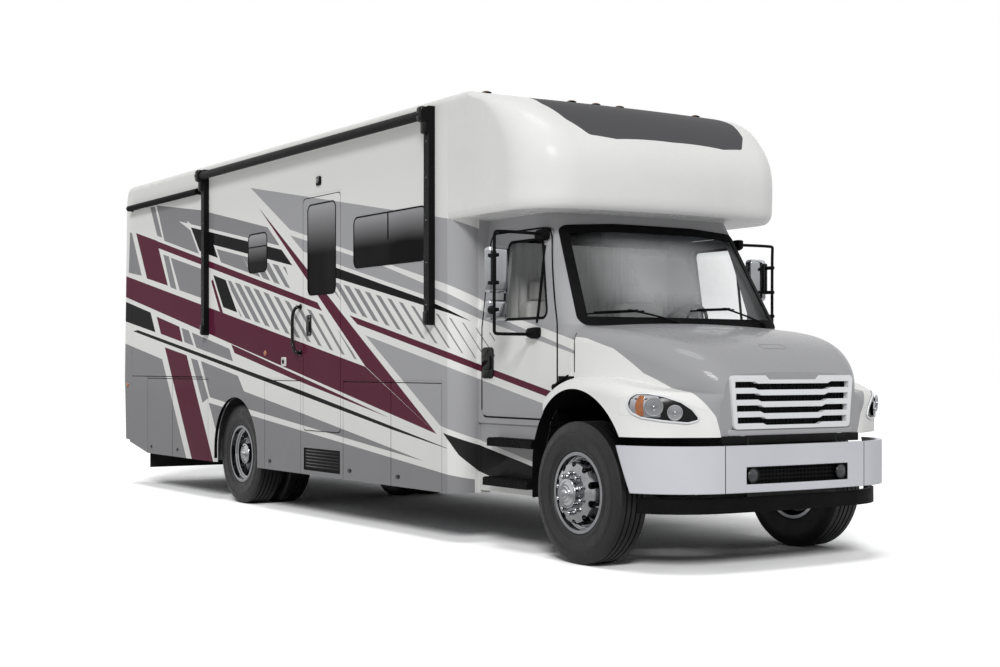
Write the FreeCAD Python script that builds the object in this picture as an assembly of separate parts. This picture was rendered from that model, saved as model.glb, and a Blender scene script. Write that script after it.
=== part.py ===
import FreeCAD, Part
import math
import os

# Motorhome: a coach body on a long-nosed medium truck chassis.
# Millimetres. X points forward, Y to the driver's side, Z up. The origin is on the ground
# under the middle of the whole vehicle.

V = FreeCAD.Vector

# Driving sizes of the vehicle
OVERALL_LENGTH = 10560
FRONT_OVERHANG = 1070
WHEELBASE = 6040
BODY_WIDTH = 2578
ROOF_HEIGHT = 3650
ROOF_CROWN = 45
SKIRT_HEIGHT = 410
COACH_SETBACK = 1650
LADDER_STANDOFF = 58

# Gaps and fits
RUNNING_GAP = 0.3
SEAM = 0.6
DOOR_GAP = 8
DOOR_RELIEF = 3
GLASS_GAP = 0.5
OVERRUN = 60
BALL_SHARE = 1.04

# Coach body panels
WALL = 45
FLOOR_TOP = 1310
FLOOR_THICK = 60
ROOF_THICK = 60
ROOF_EDGE_RADIUS = 70
SILL_STRIP = 21
REAR_WRAP = 180
REAR_TOP_RUN = 560
REAR_TOP_DROP = 250
REAR_LEAN = 40
REAR_BEND_SHARE = 0.33
SKIRT_RISE = 143
SKIRT_RISE_START = 810
CORNER_DEPTH = 95
PASSAGE_HALF = 930

# Wheels
TYRE_RADIUS = 522
TYRE_WIDTH = 279
TYRE_SHOULDER = 38
RIM_SEAT_RADIUS = 285.7
RIM_FLANGE_RADIUS = 298.5
RIM_WIDTH = 235
RIM_THICK = 12
RIM_WELL_RADIUS = 255
RIM_OUTSET = 168
HAND_HOLES = 10
HAND_HOLE_RADIUS = 27
HAND_HOLE_CIRCLE = 218
HUB_RADIUS = 108
HUB_COVER = 46
FRONT_WHEEL_Y = 1055
REAR_WHEEL_Y = 1080
TWIN_SPACING = 340
SPINDLE_RADIUS = 36
SPINDLE_REACH = 190
KINGPIN_Y = 900
KINGPIN_RADIUS = 22
KINGPIN_LENGTH = 210
KNUCKLE_EAR = 46
KNUCKLE_THICK = 40
BEAM_WIDTH = 90
BEAM_HEIGHT = 100
BEAM_DROP = 70
BEAM_END_HEIGHT = 96
SPRING_Y = 432
SPRING_WIDTH = 76
SPRING_LENGTH = 1300
SPRING_THICK = 56
SPRING_SAG = 80
AXLE_TUBE_RADIUS = 66
DIFF_RADIUS = 200
DIFF_LENGTH = 300

# Chassis frame
RAIL_HALF = 432
RAIL_TOP = 985
RAIL_DEPTH = 254
RAIL_FLANGE = 80
RAIL_THICK = 10
RAIL_FRONT = 800
RAIL_REAR_INSET = 330
CROSS_PITCH = 980
CROSS_START = 1330
CROSS_WIDTH = 70
CROSS_DROP = 70
RISER_THICK = 60
HORN_DROP = 530
HORN_BACK = 870
HORN_TOP = 944
HORN_REACH = 1000
HORN_THICK = 12
RECEIVER_OUT = 63.5
RECEIVER_IN = 51.6
RECEIVER_Z = 500
RECEIVER_LENGTH = 300
RECEIVER_PIN_RADIUS = 7.95
RECEIVER_PIN_INSET = 64
RECEIVER_BAR = 60

# Driveline
ENGINE_FRONT = 700
ENGINE_LENGTH = 920
ENGINE_HALF = 330
ENGINE_LOW = 640
ENGINE_HIGH = 1380
GEARBOX_LENGTH = 840
GEARBOX_RADIUS = 170
SHAFT_RADIUS = 48
SHAFT_HIGH = 730
SHAFT_LOW = 560
EXHAUST_Y = 640
EXHAUST_Z = 640
EXHAUST_RADIUS = 140
EXHAUST_LENGTH = 760
EXHAUST_BACK = 1520
PIPE_RADIUS = 48
PIPE_Y = 490
PIPE_START = 150
PIPE_TURN = 260
TANK_BACK = 1500
TANK_LENGTH = 800
TANK_IN = 500
TANK_OUT = 900
TANK_LOW = 440
TANK_HIGH = 860
TANK_CORNER = 90
STRAP = 8
STRAP_WIDTH = 50

# Rear wheel arch
ARCH_HALF = 570
ARCH_TOP = 1120
ARCH_SHIFT = 40

# Kerb side openings, as distances behind the front axle
ENTRY_FRONT = 3570
ENTRY_BACK = 4340
ENTRY_LOW = 836
ENTRY_HIGH = 3045
ENTRY_CORNER = 45
ENTRY_WINDOW_FRONT = 3650
ENTRY_WINDOW_BACK = 4250
ENTRY_WINDOW_LOW = 2118
ENTRY_WINDOW_HIGH = 2985
WINDOW_CORNER = 75
GLASS_THICK = 8
GLASS_SINK = 3
STEP_BOX_LOW = 452
STEP_BOX_HIGH = 665
STEP_TRAVEL = 300
STEP_DEPTH = 330
STEP_PLATE = 30
STEP_RISER_LOW = 480
DINETTE_FRONT = 1995
DINETTE_BACK = 3300
DINETTE_LOW = 2325
DINETTE_HIGH = 2790
GALLEY_FRONT = 5180
GALLEY_BACK = 5655
GALLEY_LOW = 2400
GALLEY_HIGH = 2805

# Baggage doors, as distances behind the front axle
BAY_LOW = 410
BAY_HIGH = 1300
BAY_1_FRONT = 1740
BAY_2_FRONT = 2600
BAY_2_BACK = 3505
BAY_3_FRONT = 4405
BAY_3_BACK = 5240
BAY_4_FRONT = 6740
BAY_5_FRONT = 7807
BAY_5_BACK = 8620
BAY_DEPTH = 740
TRAY_THICK = 20
HINGE_PIN_RADIUS = 4
HINGE_PIN_LENGTH = 8
HINGE_INSET = 7

# Slide-outs
SLIDE_LOW = 1332
SLIDE_HIGH = 3395
SLIDE_DEPTH = 760
SLIDE_PANEL = 40
SLIDE_RUNNER_SHARES = (0.08, 0.36, 0.64, 0.90)
KERB_SLIDE_FRONT = 6880
KERB_SLIDE_BACK = 9170
DRIVER_SLIDE_FRONT = 1950
DRIVER_SLIDE_BACK = 5900
SLIDE_WINDOW_LOW = 2150
SLIDE_WINDOW_HIGH = 2850
SLIDE_WINDOW_LENGTH = 1250
SLIDE_WINDOW_INSET = 350
TOPPER_RADIUS = 34
TOPPER_Y = 52
TOPPER_Z = 3372
TOPPER_END = 30

# Overhead cap above the cab
CAP_FRONT_SETBACK = 257
CAP_LOW = 2640
CAP_WALL = 45
CAP_CORNER = 450
CAP_BOW = 150
# rows of height, reach and half width, each as a share of the cap's own
CAP_SHARES = [
    (0.0, 0.955, 0.985), (0.035, 0.985, 0.998), (0.12, 1.0, 1.0), (0.33, 1.0, 1.0),
    (0.46, 0.972, 1.0), (0.57, 0.915, 1.0), (0.68, 0.830, 1.0), (0.78, 0.715, 1.0),
    (0.85, 0.585, 1.0), (0.90, 0.415, 1.0), (0.94, 0.27, 1.0), (0.975, 0.14, 1.0),
    (1.0, 0.05, 0.99)]
# the dark roof glass of the cap: plan points as shares of the cap's reach and half width
CAP_GLASS_SHARES = [(0.925, -0.42), (0.935, 0.0), (0.925, 0.42), (0.895, 0.60), (0.80, 0.70),
                    (0.64, 0.76), (0.47, 0.735), (0.45, 0.40), (0.445, 0.0), (0.45, -0.40),
                    (0.47, -0.735), (0.64, -0.76), (0.80, -0.70), (0.895, -0.60)]
CAP_GLASS_MID_SHARE = 0.7

# Cab
CAB_HALF = 1050
CAB_FLOOR = 985
CAB_SKIN = 42
CAB_BACK = 1560
BELT_HEIGHT = 1757
CAB_TOP = 2640
CAB_TOP_HALF = 940
CAB_NOSE_LOW = 135
CAB_NOSE_HIGH = 640
CAB_CORNER = 200
CAB_BOW = 80
COWL_DEPTH = 95
FIREWALL = 250
WHEEL_HOUSE_TOP = 1250
DOOR_FRONT = 430
DOOR_BACK = 1500
DOOR_LOW = 1036
DOOR_HIGH = 2520
DOOR_LEAN = 265
DOOR_CORNER = 60
DOOR_GLASS_FRONT_LOW = 560
DOOR_GLASS_FRONT_HIGH = 740
DOOR_GLASS_BACK_LOW = 1210
DOOR_GLASS_BACK_HIGH = 1235
DOOR_GLASS_LOW = 1805
DOOR_GLASS_HIGH = 2445
SHIELD_LOW = 1795
SHIELD_HIGH = 2515
SHIELD_HALF_LOW = 985
SHIELD_HALF_HIGH = 845
SHIELD_CORNER = 70
CAB_STEP_REACH = 1150
CAB_STEP_LOW_REACH = 1190
CAB_STEP_BACK = 1270
CAB_STEP_FRONT = 640
CAB_STEP_HIGH = 870
CAB_STEP_MID = 560
CAB_STEP_THICK = 60
HANGER_WIDTH = 60
HANGER_THICK = 14

# Mirrors
MIRROR_SETBACK = 740
MIRROR_Y = 1420
MIRROR_TUBE = 13
MIRROR_LOW = 1690
MIRROR_HIGH = 2470
MIRROR_HEAD_LOW = 2010
MIRROR_HEAD_HIGH = 2360
MIRROR_HEAD_HALF = 95
MIRROR_HEAD_THICK = 60
SPOT_LOW = 1790
SPOT_HIGH = 1960
MIRROR_ROOT_LOW = 1700
MIRROR_ROOT_HIGH = 2462

# Cab inside
DASH_FRONT = 330
DASH_BACK = 640
DASH_LOW = 1400
DASH_HIGH = 1800
DASH_HALF = 960
SEAT_Y = 480
SEAT_WIDTH = 520
SEAT_DEPTH = 500
SEAT_BACK = 1450
SEAT_HIGH = 1480
SEAT_THICK = 130
SEAT_TOP = 2150
SEAT_POST = 90
STEERING_RADIUS = 228
STEERING_TUBE = 15
STEERING_Z = 1760
STEERING_SETBACK = 800
STEERING_TILT = 35
COLUMN_LENGTH = 190
COLUMN_RADIUS = 26

# Hood and fenders
HOOD_SKIN = 22
HOOD_LOW = 1180
HOOD_LENGTH = 985
HOOD_HALF = 1030
HOOD_HIGH = 1782
HOOD_SHOULDER = 190
HOOD_CROWN = 45
# rows of place ahead of the axle, half width, top height and shoulder radius, as shares
HOOD_SHARES = [(-0.32, 1.0, 1.0, 0.6), (0.0, 0.99, 0.965, 0.65), (0.3, 0.945, 0.90, 0.75),
               (0.55, 0.88, 0.815, 0.9), (0.76, 0.80, 0.70, 1.0), (0.90, 0.71, 0.56, 0.9),
               (1.0, 0.61, 0.37, 0.6)]
FENDER_HALF = 1220
FENDER_LOW = 950
FENDER_HIGH = 1375
FENDER_SHOULDER = 105
FENDER_CROWN = 12
FENDER_SHARES = [(-0.52, 0.965, 0.62), (-0.40, 0.98, 0.76), (-0.22, 0.99, 0.93),
                 (0.0, 1.0, 1.0), (0.25, 1.0, 0.99), (0.45, 0.99, 0.93), (0.60, 0.965, 0.86),
                 (0.74, 0.905, 0.80), (0.86, 0.79, 0.76), (0.94, 0.67, 0.74), (1.0, 0.55, 0.73)]
FENDER_BACK = 418
FENDER_SWEEP_LOW = 1240
FENDER_SWEEP_HIGH = 1400
FENDER_ARCH = 580
FENDER_ARCH_HEIGHT = 700
GRILLE_HALF_LOW = 557
GRILLE_HALF_HIGH = 592
GRILLE_LOW = 1002
GRILLE_HIGH = 1380
GRILLE_RIM = 30
GRILLE_SLOT = 43
GRILLE_SLOT_PITCH = 83
GRILLE_SLOT_START = 41
GRILLE_STEP = 14
GRILLE_STEP_RUN = 35
GRILLE_STEP_HALVES = (255, 280, 305, 335)
GRILLE_DIP = 30
GRILLE_DIP_HALF = 232
GRILLE_DEPTH = 46
GRILLE_CORNER = 35
HOOD_HINGE_X = 975
HOOD_HINGE_Z = 922
HOOD_HINGE_Y = 446
HOOD_HINGE_RADIUS = 10
HOOD_ARM = 24
HOOD_ARM_WIDTH = 40
HOOD_MOUTH_DROP = 70
LAMP_LOW = 1072
LAMP_HIGH = 1252
LAMP_IN = 765
LAMP_OUT = 1195
LAMP_CORNER = 30

# Bumper
BUMPER_LOW = 564
BUMPER_HIGH = 892
BUMPER_HALF = 1230
BUMPER_RUN = 550
BUMPER_SKIN = 40
BUMPER_SPLIT = 670
BUMPER_CORNER = 620
BUMPER_BOW = 92
BUMPER_SLOT_HALF = 489
BUMPER_SLOT_LOW = 622
BUMPER_SLOT_HIGH = 742
BUMPER_RAKE = 120
VALANCE_LOW = 420
VALANCE_INSET = 60
VALANCE_HALF = 1130
BUMPER_POST = 60

# Awning
AWNING_FRONT = 1890
AWNING_BACK = 6752
ARM_WIDTH = 84
ARM_DEPTH = 60
ARM_LOW = 1785
ARM_TOP_DROP = 60
ROLLER_RADIUS = 42
ROLLER_DROP = 130
ROLLER_Y = 78
HEAD_RADIUS = 58

# Roof equipment, rear fittings
UNIT_LENGTH = 1000
UNIT_WIDTH = 700
UNIT_HEIGHT = 235
UNIT_TAPER = 0.86
UNIT_SETBACKS = (3300, 7300)
VENT_SIZE = 400
VENT_HEIGHT = 110
VENT_SETBACKS = (4700, 5900, 8500)
LADDER_Y = 700
LADDER_WIDTH = 380
LADDER_TUBE = 15
RUNG_RADIUS = 11
LADDER_LOW = 1150
LADDER_RUNGS = 7
LADDER_OVER = 330
LADDER_RISE = 80
TAIL_LAMP_Y = 1080
TAIL_LAMP_WIDTH = 150
TAIL_LAMP_LOW = 1250
TAIL_LAMP_HEIGHT = 520
TAIL_LAMP_THICK = 24
REAR_WINDOW_HALF = 520
REAR_WINDOW_LOW = 2350
REAR_WINDOW_HIGH = 2950
GUARD_BACK = 8840
GUARD_HALF = 1180
GUARD_LOW = 225
GUARD_HIGH = 640
GUARD_THICK = 12

# Places worked out from the sizes above
AXLE_X = OVERALL_LENGTH / 2 - FRONT_OVERHANG
REAR_AXLE_X = AXLE_X - WHEELBASE
REAR_X = LADDER_STANDOFF - OVERALL_LENGTH / 2
COACH_X = AXLE_X - COACH_SETBACK
SIDE = BODY_WIDTH / 2
INSIDE = SIDE - WALL
FLOOR_LOW = FLOOR_TOP - FLOOR_THICK
REAR_WALL_X = REAR_X + REAR_WRAP
TREAD_TOP = FLOOR_TOP - FLOOR_THICK


def behind(distance):
    """The X of a place this far behind the front axle."""
    return AXLE_X - distance


def save(name, shape):
    """Write one named piece as its own file."""
    shape.exportStep("parts/" + name + ".step")


def block(x0, x1, y0, y1, z0, z1):
    return Part.makeBox(abs(x1 - x0), abs(y1 - y0), abs(z1 - z0),
                        V(min(x0, x1), min(y0, y1), min(z0, z1)))


def rod(start, end, radius):
    way = end.sub(start)
    return Part.makeCylinder(radius, way.Length, start, way)


def ring(start, end, radius, bore):
    return rod(start, end, radius).cut(rod(start, end, bore))


def mirrored(shape):
    """The same piece on the other side of the vehicle."""
    return shape.mirror(V(0, 0, 0), V(0, 1, 0))


def tube(points, radius):
    """A bent tube through some points, with ball corners."""
    pieces = [rod(a, b, radius) for a, b in zip(points, points[1:])]
    return pieces + [Part.makeSphere(radius * BALL_SHARE, point) for point in points[1:-1]]


def both(shape):
    return Part.makeCompound([shape, mirrored(shape)])


def fused(shapes):
    whole = shapes[0]
    for shape in shapes[1:]:
        whole = whole.fuse(shape)
    return whole.removeSplitter()


def rounded(points, radius):
    """A closed outline with every corner rounded to the same radius."""
    edges = []
    ends = []
    count = len(points)
    for i in range(count):
        corner = points[i]
        back = points[i - 1].sub(corner)
        ahead = points[(i + 1) % count].sub(corner)
        half = back.getAngle(ahead) / 2
        reach = min(radius / math.tan(half), back.Length * 0.45, ahead.Length * 0.45)
        fair = reach * math.tan(half)
        back.normalize()
        ahead.normalize()
        middle = back.add(ahead).normalize()
        away = fair / math.sin(half) - fair
        first = corner + back * reach
        last = corner + ahead * reach
        edges.append(Part.Arc(first, corner + middle * away, last).toShape())
        ends.append((first, last))
    sides = []
    for i in range(count):
        sides.append(edges[i])
        sides.append(Part.LineSegment(ends[i][1], ends[(i + 1) % count][0]).toShape())
    return Part.Wire(sides)


def slab(wire, way):
    return Part.Face(wire).extrude(way)


def prism_y(points, y0, y1, radius=0):
    """A plate cut along Y, from points of X and Z."""
    corners = [V(x, y0, z) for x, z in points]
    wire = rounded(corners, radius) if radius else Part.makePolygon(corners + corners[:1])
    return slab(wire, V(0, y1 - y0, 0))


def prism_x(points, x0, x1, radius=0):
    """A plate cut along X, from points of Y and Z."""
    corners = [V(x0, y, z) for y, z in points]
    wire = rounded(corners, radius) if radius else Part.makePolygon(corners + corners[:1])
    return slab(wire, V(x1 - x0, 0, 0))


def prism_z(points, z0, z1, radius=0):
    """A plate cut along Z, from points of X and Y."""
    corners = [V(x, y, z0) for x, y in points]
    wire = rounded(corners, radius) if radius else Part.makePolygon(corners + corners[:1])
    return slab(wire, V(0, 0, z1 - z0))


def pane_y(x0, x1, z0, z1, y0, y1, radius, grow=0):
    """A rounded rectangle seen from the side, grown all round by a gap."""
    points = [(x0 - grow, z0 - grow), (x1 + grow, z0 - grow),
              (x1 + grow, z1 + grow), (x0 - grow, z1 + grow)]
    return prism_y(points, y0, y1, radius + grow)


def crowned_points(half, high, radius, crown):
    """Points of a shallow bow between two rounded corners, from the middle outward."""
    bow_radius = (half * half + crown * crown) / (2 * crown)
    reach = bow_radius - radius
    side = half - radius
    centre = high - bow_radius + math.sqrt(reach * reach - side * side)
    lean = math.atan2(side, centre - high + bow_radius)
    half_turn = (lean + math.pi / 2) / 2
    return [(side + radius * math.sin(lean), centre + radius * math.cos(lean)),
            (side + radius * math.sin(half_turn), centre + radius * math.cos(half_turn)),
            (half, centre)]


def crowned_edges(place, half, low, high, radius, crown):
    """The edges of a crowned outline. The place function puts points where they belong."""
    meet, middle, end = crowned_points(half, high, radius, crown)
    left = [place(-end[0], end[1]), place(-middle[0], middle[1]), place(-meet[0], meet[1])]
    right = [place(*meet), place(*middle), place(*end)]
    feet = [place(-half, low), place(half, low)]
    return Part.Wire([Part.LineSegment(feet[0], left[0]).toShape(), Part.Arc(*left).toShape(),
                      Part.Arc(left[2], place(0, high), right[0]).toShape(),
                      Part.Arc(*right).toShape(), Part.LineSegment(right[2], feet[1]).toShape(),
                      Part.LineSegment(feet[1], feet[0]).toShape()])


def plan_wire(x_back, x_front, half, z, radius, crown):
    """A level outline: straight back and sides, rounded corners and a bowed front."""
    return crowned_edges(lambda y, x: V(x, y, z), half, x_back, x_front, radius, crown)


def crowned_wire(x, half, low, high, radius, crown):
    """An upright outline across the vehicle: flat foot, straight sides, crowned top."""
    return crowned_edges(lambda y, z: V(x, y, z), half, low, high, radius, crown)


def loft(wires, ruled=False):
    return Part.makeLoft(wires, True, ruled)


# Chassis frame

def frame_rails():
    front = AXLE_X + RAIL_FRONT
    rear = REAR_X + RAIL_REAR_INSET
    low = RAIL_TOP - RAIL_DEPTH
    inner = RAIL_HALF - RAIL_THICK
    rail = block(rear, front, RAIL_HALF - RAIL_FLANGE, RAIL_HALF, low, RAIL_TOP)
    rail = rail.cut(block(rear - OVERRUN, front + OVERRUN, RAIL_HALF - RAIL_FLANGE - OVERRUN,
                          inner, low + RAIL_THICK, RAIL_TOP - RAIL_THICK))
    pieces = [rail, mirrored(rail)]
    spots = [front - CROSS_WIDTH]
    place = behind(CROSS_START)
    while place > rear + CROSS_WIDTH:
        spots.append(place)
        place -= CROSS_PITCH
    spots.append(rear)
    for x in spots:
        pieces.append(block(x, x + RAIL_THICK, -inner, inner, low + CROSS_DROP,
                            RAIL_TOP - RAIL_THICK))
        pieces.append(block(x, x + CROSS_WIDTH, -inner, inner,
                            RAIL_TOP - 2 * RAIL_THICK, RAIL_TOP - RAIL_THICK))
        if COACH_X > x + RISER_THICK:
            pieces.append(block(x, x + RISER_THICK, -RAIL_HALF - RISER_THICK,
                                RAIL_HALF + RISER_THICK, RAIL_TOP, FLOOR_LOW))
    pieces += frame_horns(front, low)
    pieces += tow_receiver(rear, low)
    pieces += rear_guard()
    return fused(pieces)


def frame_horns(front, low):
    """Brackets at the front that carry the bumper and the hood pivots."""
    pieces = []
    tip = AXLE_X + HORN_REACH
    back = AXLE_X + HORN_BACK
    for side in (-1, 1):
        y0 = side * RAIL_HALF
        y1 = side * (RAIL_HALF - HORN_THICK)
        plate = prism_y([(front - CROSS_WIDTH, RAIL_TOP - RAIL_FLANGE), (back, HORN_TOP),
                         (tip, HORN_TOP), (tip, HORN_DROP), (back, HORN_DROP),
                         (front - CROSS_WIDTH, low)], y0, y1)
        pivot = V(AXLE_X + HOOD_HINGE_X, y1, HOOD_HINGE_Z)
        reach = V(0, side * (HOOD_HINGE_Y + HOOD_ARM_WIDTH + HORN_THICK - RAIL_HALF + HORN_THICK), 0)
        pieces += [plate, rod(pivot, pivot + reach, HOOD_HINGE_RADIUS)]
    pieces.append(block(tip - HORN_THICK, tip, -RAIL_HALF, RAIL_HALF, HORN_DROP,
                        HORN_DROP + RAIL_FLANGE))
    return pieces


def tow_receiver(rear, low):
    """A square tow receiver on a cross bar under the rear of the frame."""
    mouth = REAR_X
    half = RECEIVER_OUT / 2
    back = mouth + RECEIVER_LENGTH
    tube = block(mouth, back + RECEIVER_BAR, -half, half, RECEIVER_Z - half, RECEIVER_Z + half)
    bar = block(back, back + RECEIVER_BAR, -RAIL_HALF, RAIL_HALF,
                RECEIVER_Z - RECEIVER_BAR / 2, RECEIVER_Z + RECEIVER_BAR / 2)
    pieces = [tube.fuse(bar)]
    hollow = RECEIVER_IN / 2
    pieces[0] = pieces[0].cut(block(mouth - OVERRUN, back, -hollow, hollow,
                                    RECEIVER_Z - hollow, RECEIVER_Z + hollow))
    pin = V(mouth + RECEIVER_PIN_INSET, -RECEIVER_OUT, RECEIVER_Z)
    pieces[0] = pieces[0].cut(rod(pin, pin + V(0, 2 * RECEIVER_OUT, 0), RECEIVER_PIN_RADIUS))
    for side in (-1, 1):
        pieces.append(block(back, back + 2 * RECEIVER_BAR, side * RAIL_HALF,
                            side * (RAIL_HALF - HORN_THICK), RECEIVER_Z - RECEIVER_BAR / 2,
                            low + RAIL_THICK))
    return pieces


def leaf_spring(x, top):
    """One leaf pack per side, bowed, joined up to the rail by its hangers."""
    half = SPRING_LENGTH / 2
    hung = RAIL_TOP - RAIL_DEPTH
    points = [(x - half, hung), (x - half, hung - SPRING_THICK), (x - half / 2, top - SPRING_THICK / 2),
              (x, top - SPRING_THICK), (x + half / 2, top - SPRING_THICK / 2),
              (x + half, hung - SPRING_THICK), (x + half, hung), (x + half - SPRING_WIDTH, hung),
              (x + half / 2, top + SPRING_THICK / 2), (x, top), (x - half / 2, top + SPRING_THICK / 2),
              (x - half + SPRING_WIDTH, hung)]
    low = SPRING_Y - SPRING_WIDTH
    return prism_y(points, low, SPRING_Y)


def spring_seats(x, low, high):
    """Clamps that tie the leaf packs to an axle."""
    half = SPRING_WIDTH * 0.8
    return [block(x - half, x + half, side * (SPRING_Y - SPRING_WIDTH), side * SPRING_Y, low,
                  high) for side in (-1, 1)]


def front_axle():
    low = TYRE_RADIUS - BEAM_DROP - BEAM_HEIGHT
    end = KINGPIN_Y - KNUCKLE_EAR
    points = [(-end, TYRE_RADIUS - BEAM_END_HEIGHT / 2), (-SPRING_Y, low), (SPRING_Y, low),
              (end, TYRE_RADIUS - BEAM_END_HEIGHT / 2), (end, TYRE_RADIUS + BEAM_END_HEIGHT / 2),
              (SPRING_Y, low + BEAM_HEIGHT), (-SPRING_Y, low + BEAM_HEIGHT),
              (-end, TYRE_RADIUS + BEAM_END_HEIGHT / 2)]
    beam = prism_x(points, AXLE_X - BEAM_WIDTH / 2, AXLE_X + BEAM_WIDTH / 2)
    pieces = [beam]
    top = low + BEAM_HEIGHT + SPRING_THICK
    pieces += spring_seats(AXLE_X, low + BEAM_HEIGHT / 2, top)
    for side in (-1, 1):
        foot = V(AXLE_X, side * KINGPIN_Y, TYRE_RADIUS - BEAM_END_HEIGHT / 2)
        pieces.append(rod(foot, foot + V(0, 0, BEAM_END_HEIGHT), KNUCKLE_EAR))
        pieces.append(block(AXLE_X - BEAM_WIDTH / 2, AXLE_X + BEAM_WIDTH / 2, side * KINGPIN_Y,
                            side * end, TYRE_RADIUS - BEAM_END_HEIGHT / 2,
                            TYRE_RADIUS + BEAM_END_HEIGHT / 2).common(
            rod(foot, foot + V(0, 0, BEAM_END_HEIGHT), 2 * KNUCKLE_EAR)))
        pin = V(AXLE_X, side * KINGPIN_Y, TYRE_RADIUS - KINGPIN_LENGTH / 2)
        pieces.append(rod(pin, pin + V(0, 0, KINGPIN_LENGTH), KINGPIN_RADIUS))
    spring = leaf_spring(AXLE_X, top)
    pieces += [spring, mirrored(spring)]
    return fused(pieces)


def knuckle():
    """Kerb-side steering knuckle: two ears on the kingpin and a stub axle."""
    pieces = []
    gap = RUNNING_GAP
    inner = BEAM_END_HEIGHT / 2 + gap
    outer = KINGPIN_LENGTH / 2
    y = -KINGPIN_Y
    plate = y - KNUCKLE_EAR - 2 * gap
    for low, high in ((-outer, -inner), (inner, outer)):
        foot = V(AXLE_X, y, TYRE_RADIUS + low)
        ear = rod(foot, foot + V(0, 0, high - low), KNUCKLE_EAR)
        ear = ear.fuse(block(AXLE_X - KNUCKLE_EAR, AXLE_X + KNUCKLE_EAR, plate - KNUCKLE_THICK, y,
                             TYRE_RADIUS + low, TYRE_RADIUS + high))
        ear = ear.cut(rod(foot - V(0, 0, OVERRUN), foot + V(0, 0, OVERRUN + high - low),
                          KINGPIN_RADIUS + gap))
        pieces.append(ear)
    pieces.append(block(AXLE_X - KNUCKLE_EAR, AXLE_X + KNUCKLE_EAR, plate - KNUCKLE_THICK, plate,
                        TYRE_RADIUS - outer, TYRE_RADIUS + outer))
    stub = V(AXLE_X, plate - KNUCKLE_THICK, TYRE_RADIUS)
    pieces.append(rod(stub, stub - V(0, SPINDLE_REACH, 0), SPINDLE_RADIUS))
    return fused(pieces)


def rear_axle():
    """Rear axle: tube, round differential and leaf springs."""
    reach = REAR_WHEEL_Y - RIM_OUTSET
    centre = V(REAR_AXLE_X, 0, TYRE_RADIUS)
    flank = V(0, reach - RIM_WIDTH, 0)
    spindle = V(0, reach, 0)
    pieces = [rod(centre - flank, centre + flank, AXLE_TUBE_RADIUS),
              rod(centre - spindle, centre + spindle, SPINDLE_RADIUS)]
    bowl = Part.makeSphere(DIFF_RADIUS, centre)
    throat = V(REAR_AXLE_X, 0, SHAFT_LOW)
    nose = rod(throat, throat + V(DIFF_LENGTH, 0, 0), AXLE_TUBE_RADIUS)
    pieces += [bowl, nose]
    top = TYRE_RADIUS + AXLE_TUBE_RADIUS + SPRING_THICK
    pieces += spring_seats(REAR_AXLE_X, TYRE_RADIUS, top)
    spring = leaf_spring(REAR_AXLE_X, top)
    pieces += [spring, mirrored(spring)]
    return fused(pieces)


def driveline():
    """Engine as one plain block, gearbox, the shaft to the rear axle and the exhaust."""
    front = AXLE_X + ENGINE_FRONT
    back = front - ENGINE_LENGTH
    pieces = [block(back, front, -ENGINE_HALF, ENGINE_HALF, ENGINE_LOW, ENGINE_HIGH)]
    box_end = back - GEARBOX_LENGTH
    pieces.append(Part.makeCone(GEARBOX_RADIUS, 2 * SHAFT_RADIUS, GEARBOX_LENGTH,
                                V(back, 0, SHAFT_HIGH), V(-1, 0, 0)))
    start = V(box_end, 0, SHAFT_HIGH)
    end = V(REAR_AXLE_X + DIFF_LENGTH + RUNNING_GAP, 0, SHAFT_LOW)
    yoke = end + V(2 * SHAFT_RADIUS, 0, 0)
    pieces.append(rod(start + V(SHAFT_RADIUS, 0, 0), yoke, SHAFT_RADIUS))
    pieces.append(rod(end, yoke, AXLE_TUBE_RADIUS))
    pieces.append(Part.makeSphere(AXLE_TUBE_RADIUS, yoke))
    for x in (back + STRAP_WIDTH, front - 3 * STRAP_WIDTH):
        for side in (-1, 1):
            pieces.append(block(x, x + 2 * STRAP_WIDTH, side * ENGINE_HALF,
                                side * (RAIL_HALF - RAIL_THICK), RAIL_TOP - 3 * STRAP_WIDTH,
                                RAIL_TOP - 2 * STRAP_WIDTH))
    pieces += exhaust()
    return fused(pieces)


def exhaust():
    """A pipe out under the frame to a silencer on the kerb side, with a turned-down tail."""
    back = behind(EXHAUST_BACK)
    head = V(back + EXHAUST_LENGTH, -EXHAUST_Y, EXHAUST_Z)
    drum = rod(V(back, -EXHAUST_Y, EXHAUST_Z), head, EXHAUST_RADIUS)
    high = ENGINE_LOW + PIPE_RADIUS / 2
    bend = V(behind(PIPE_TURN), -PIPE_Y, high)
    path = [V(behind(PIPE_START), STRAP_WIDTH - ENGINE_HALF, high), bend,
            V(head.x + EXHAUST_RADIUS, -PIPE_Y, high), head - V(PIPE_RADIUS, 0, 0)]
    pieces = [drum] + tube(path, PIPE_RADIUS)
    tail = V(back + PIPE_RADIUS, -EXHAUST_Y, EXHAUST_Z)
    pieces.append(rod(tail, tail - V(2 * PIPE_RADIUS, 0, 4 * PIPE_RADIUS), PIPE_RADIUS))
    pieces.append(block(back + EXHAUST_RADIUS, back + EXHAUST_RADIUS + STRAP_WIDTH, -EXHAUST_Y,
                        -RAIL_HALF, EXHAUST_Z + EXHAUST_RADIUS - STRAP_WIDTH,
                        EXHAUST_Z + EXHAUST_RADIUS))
    return pieces


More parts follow.
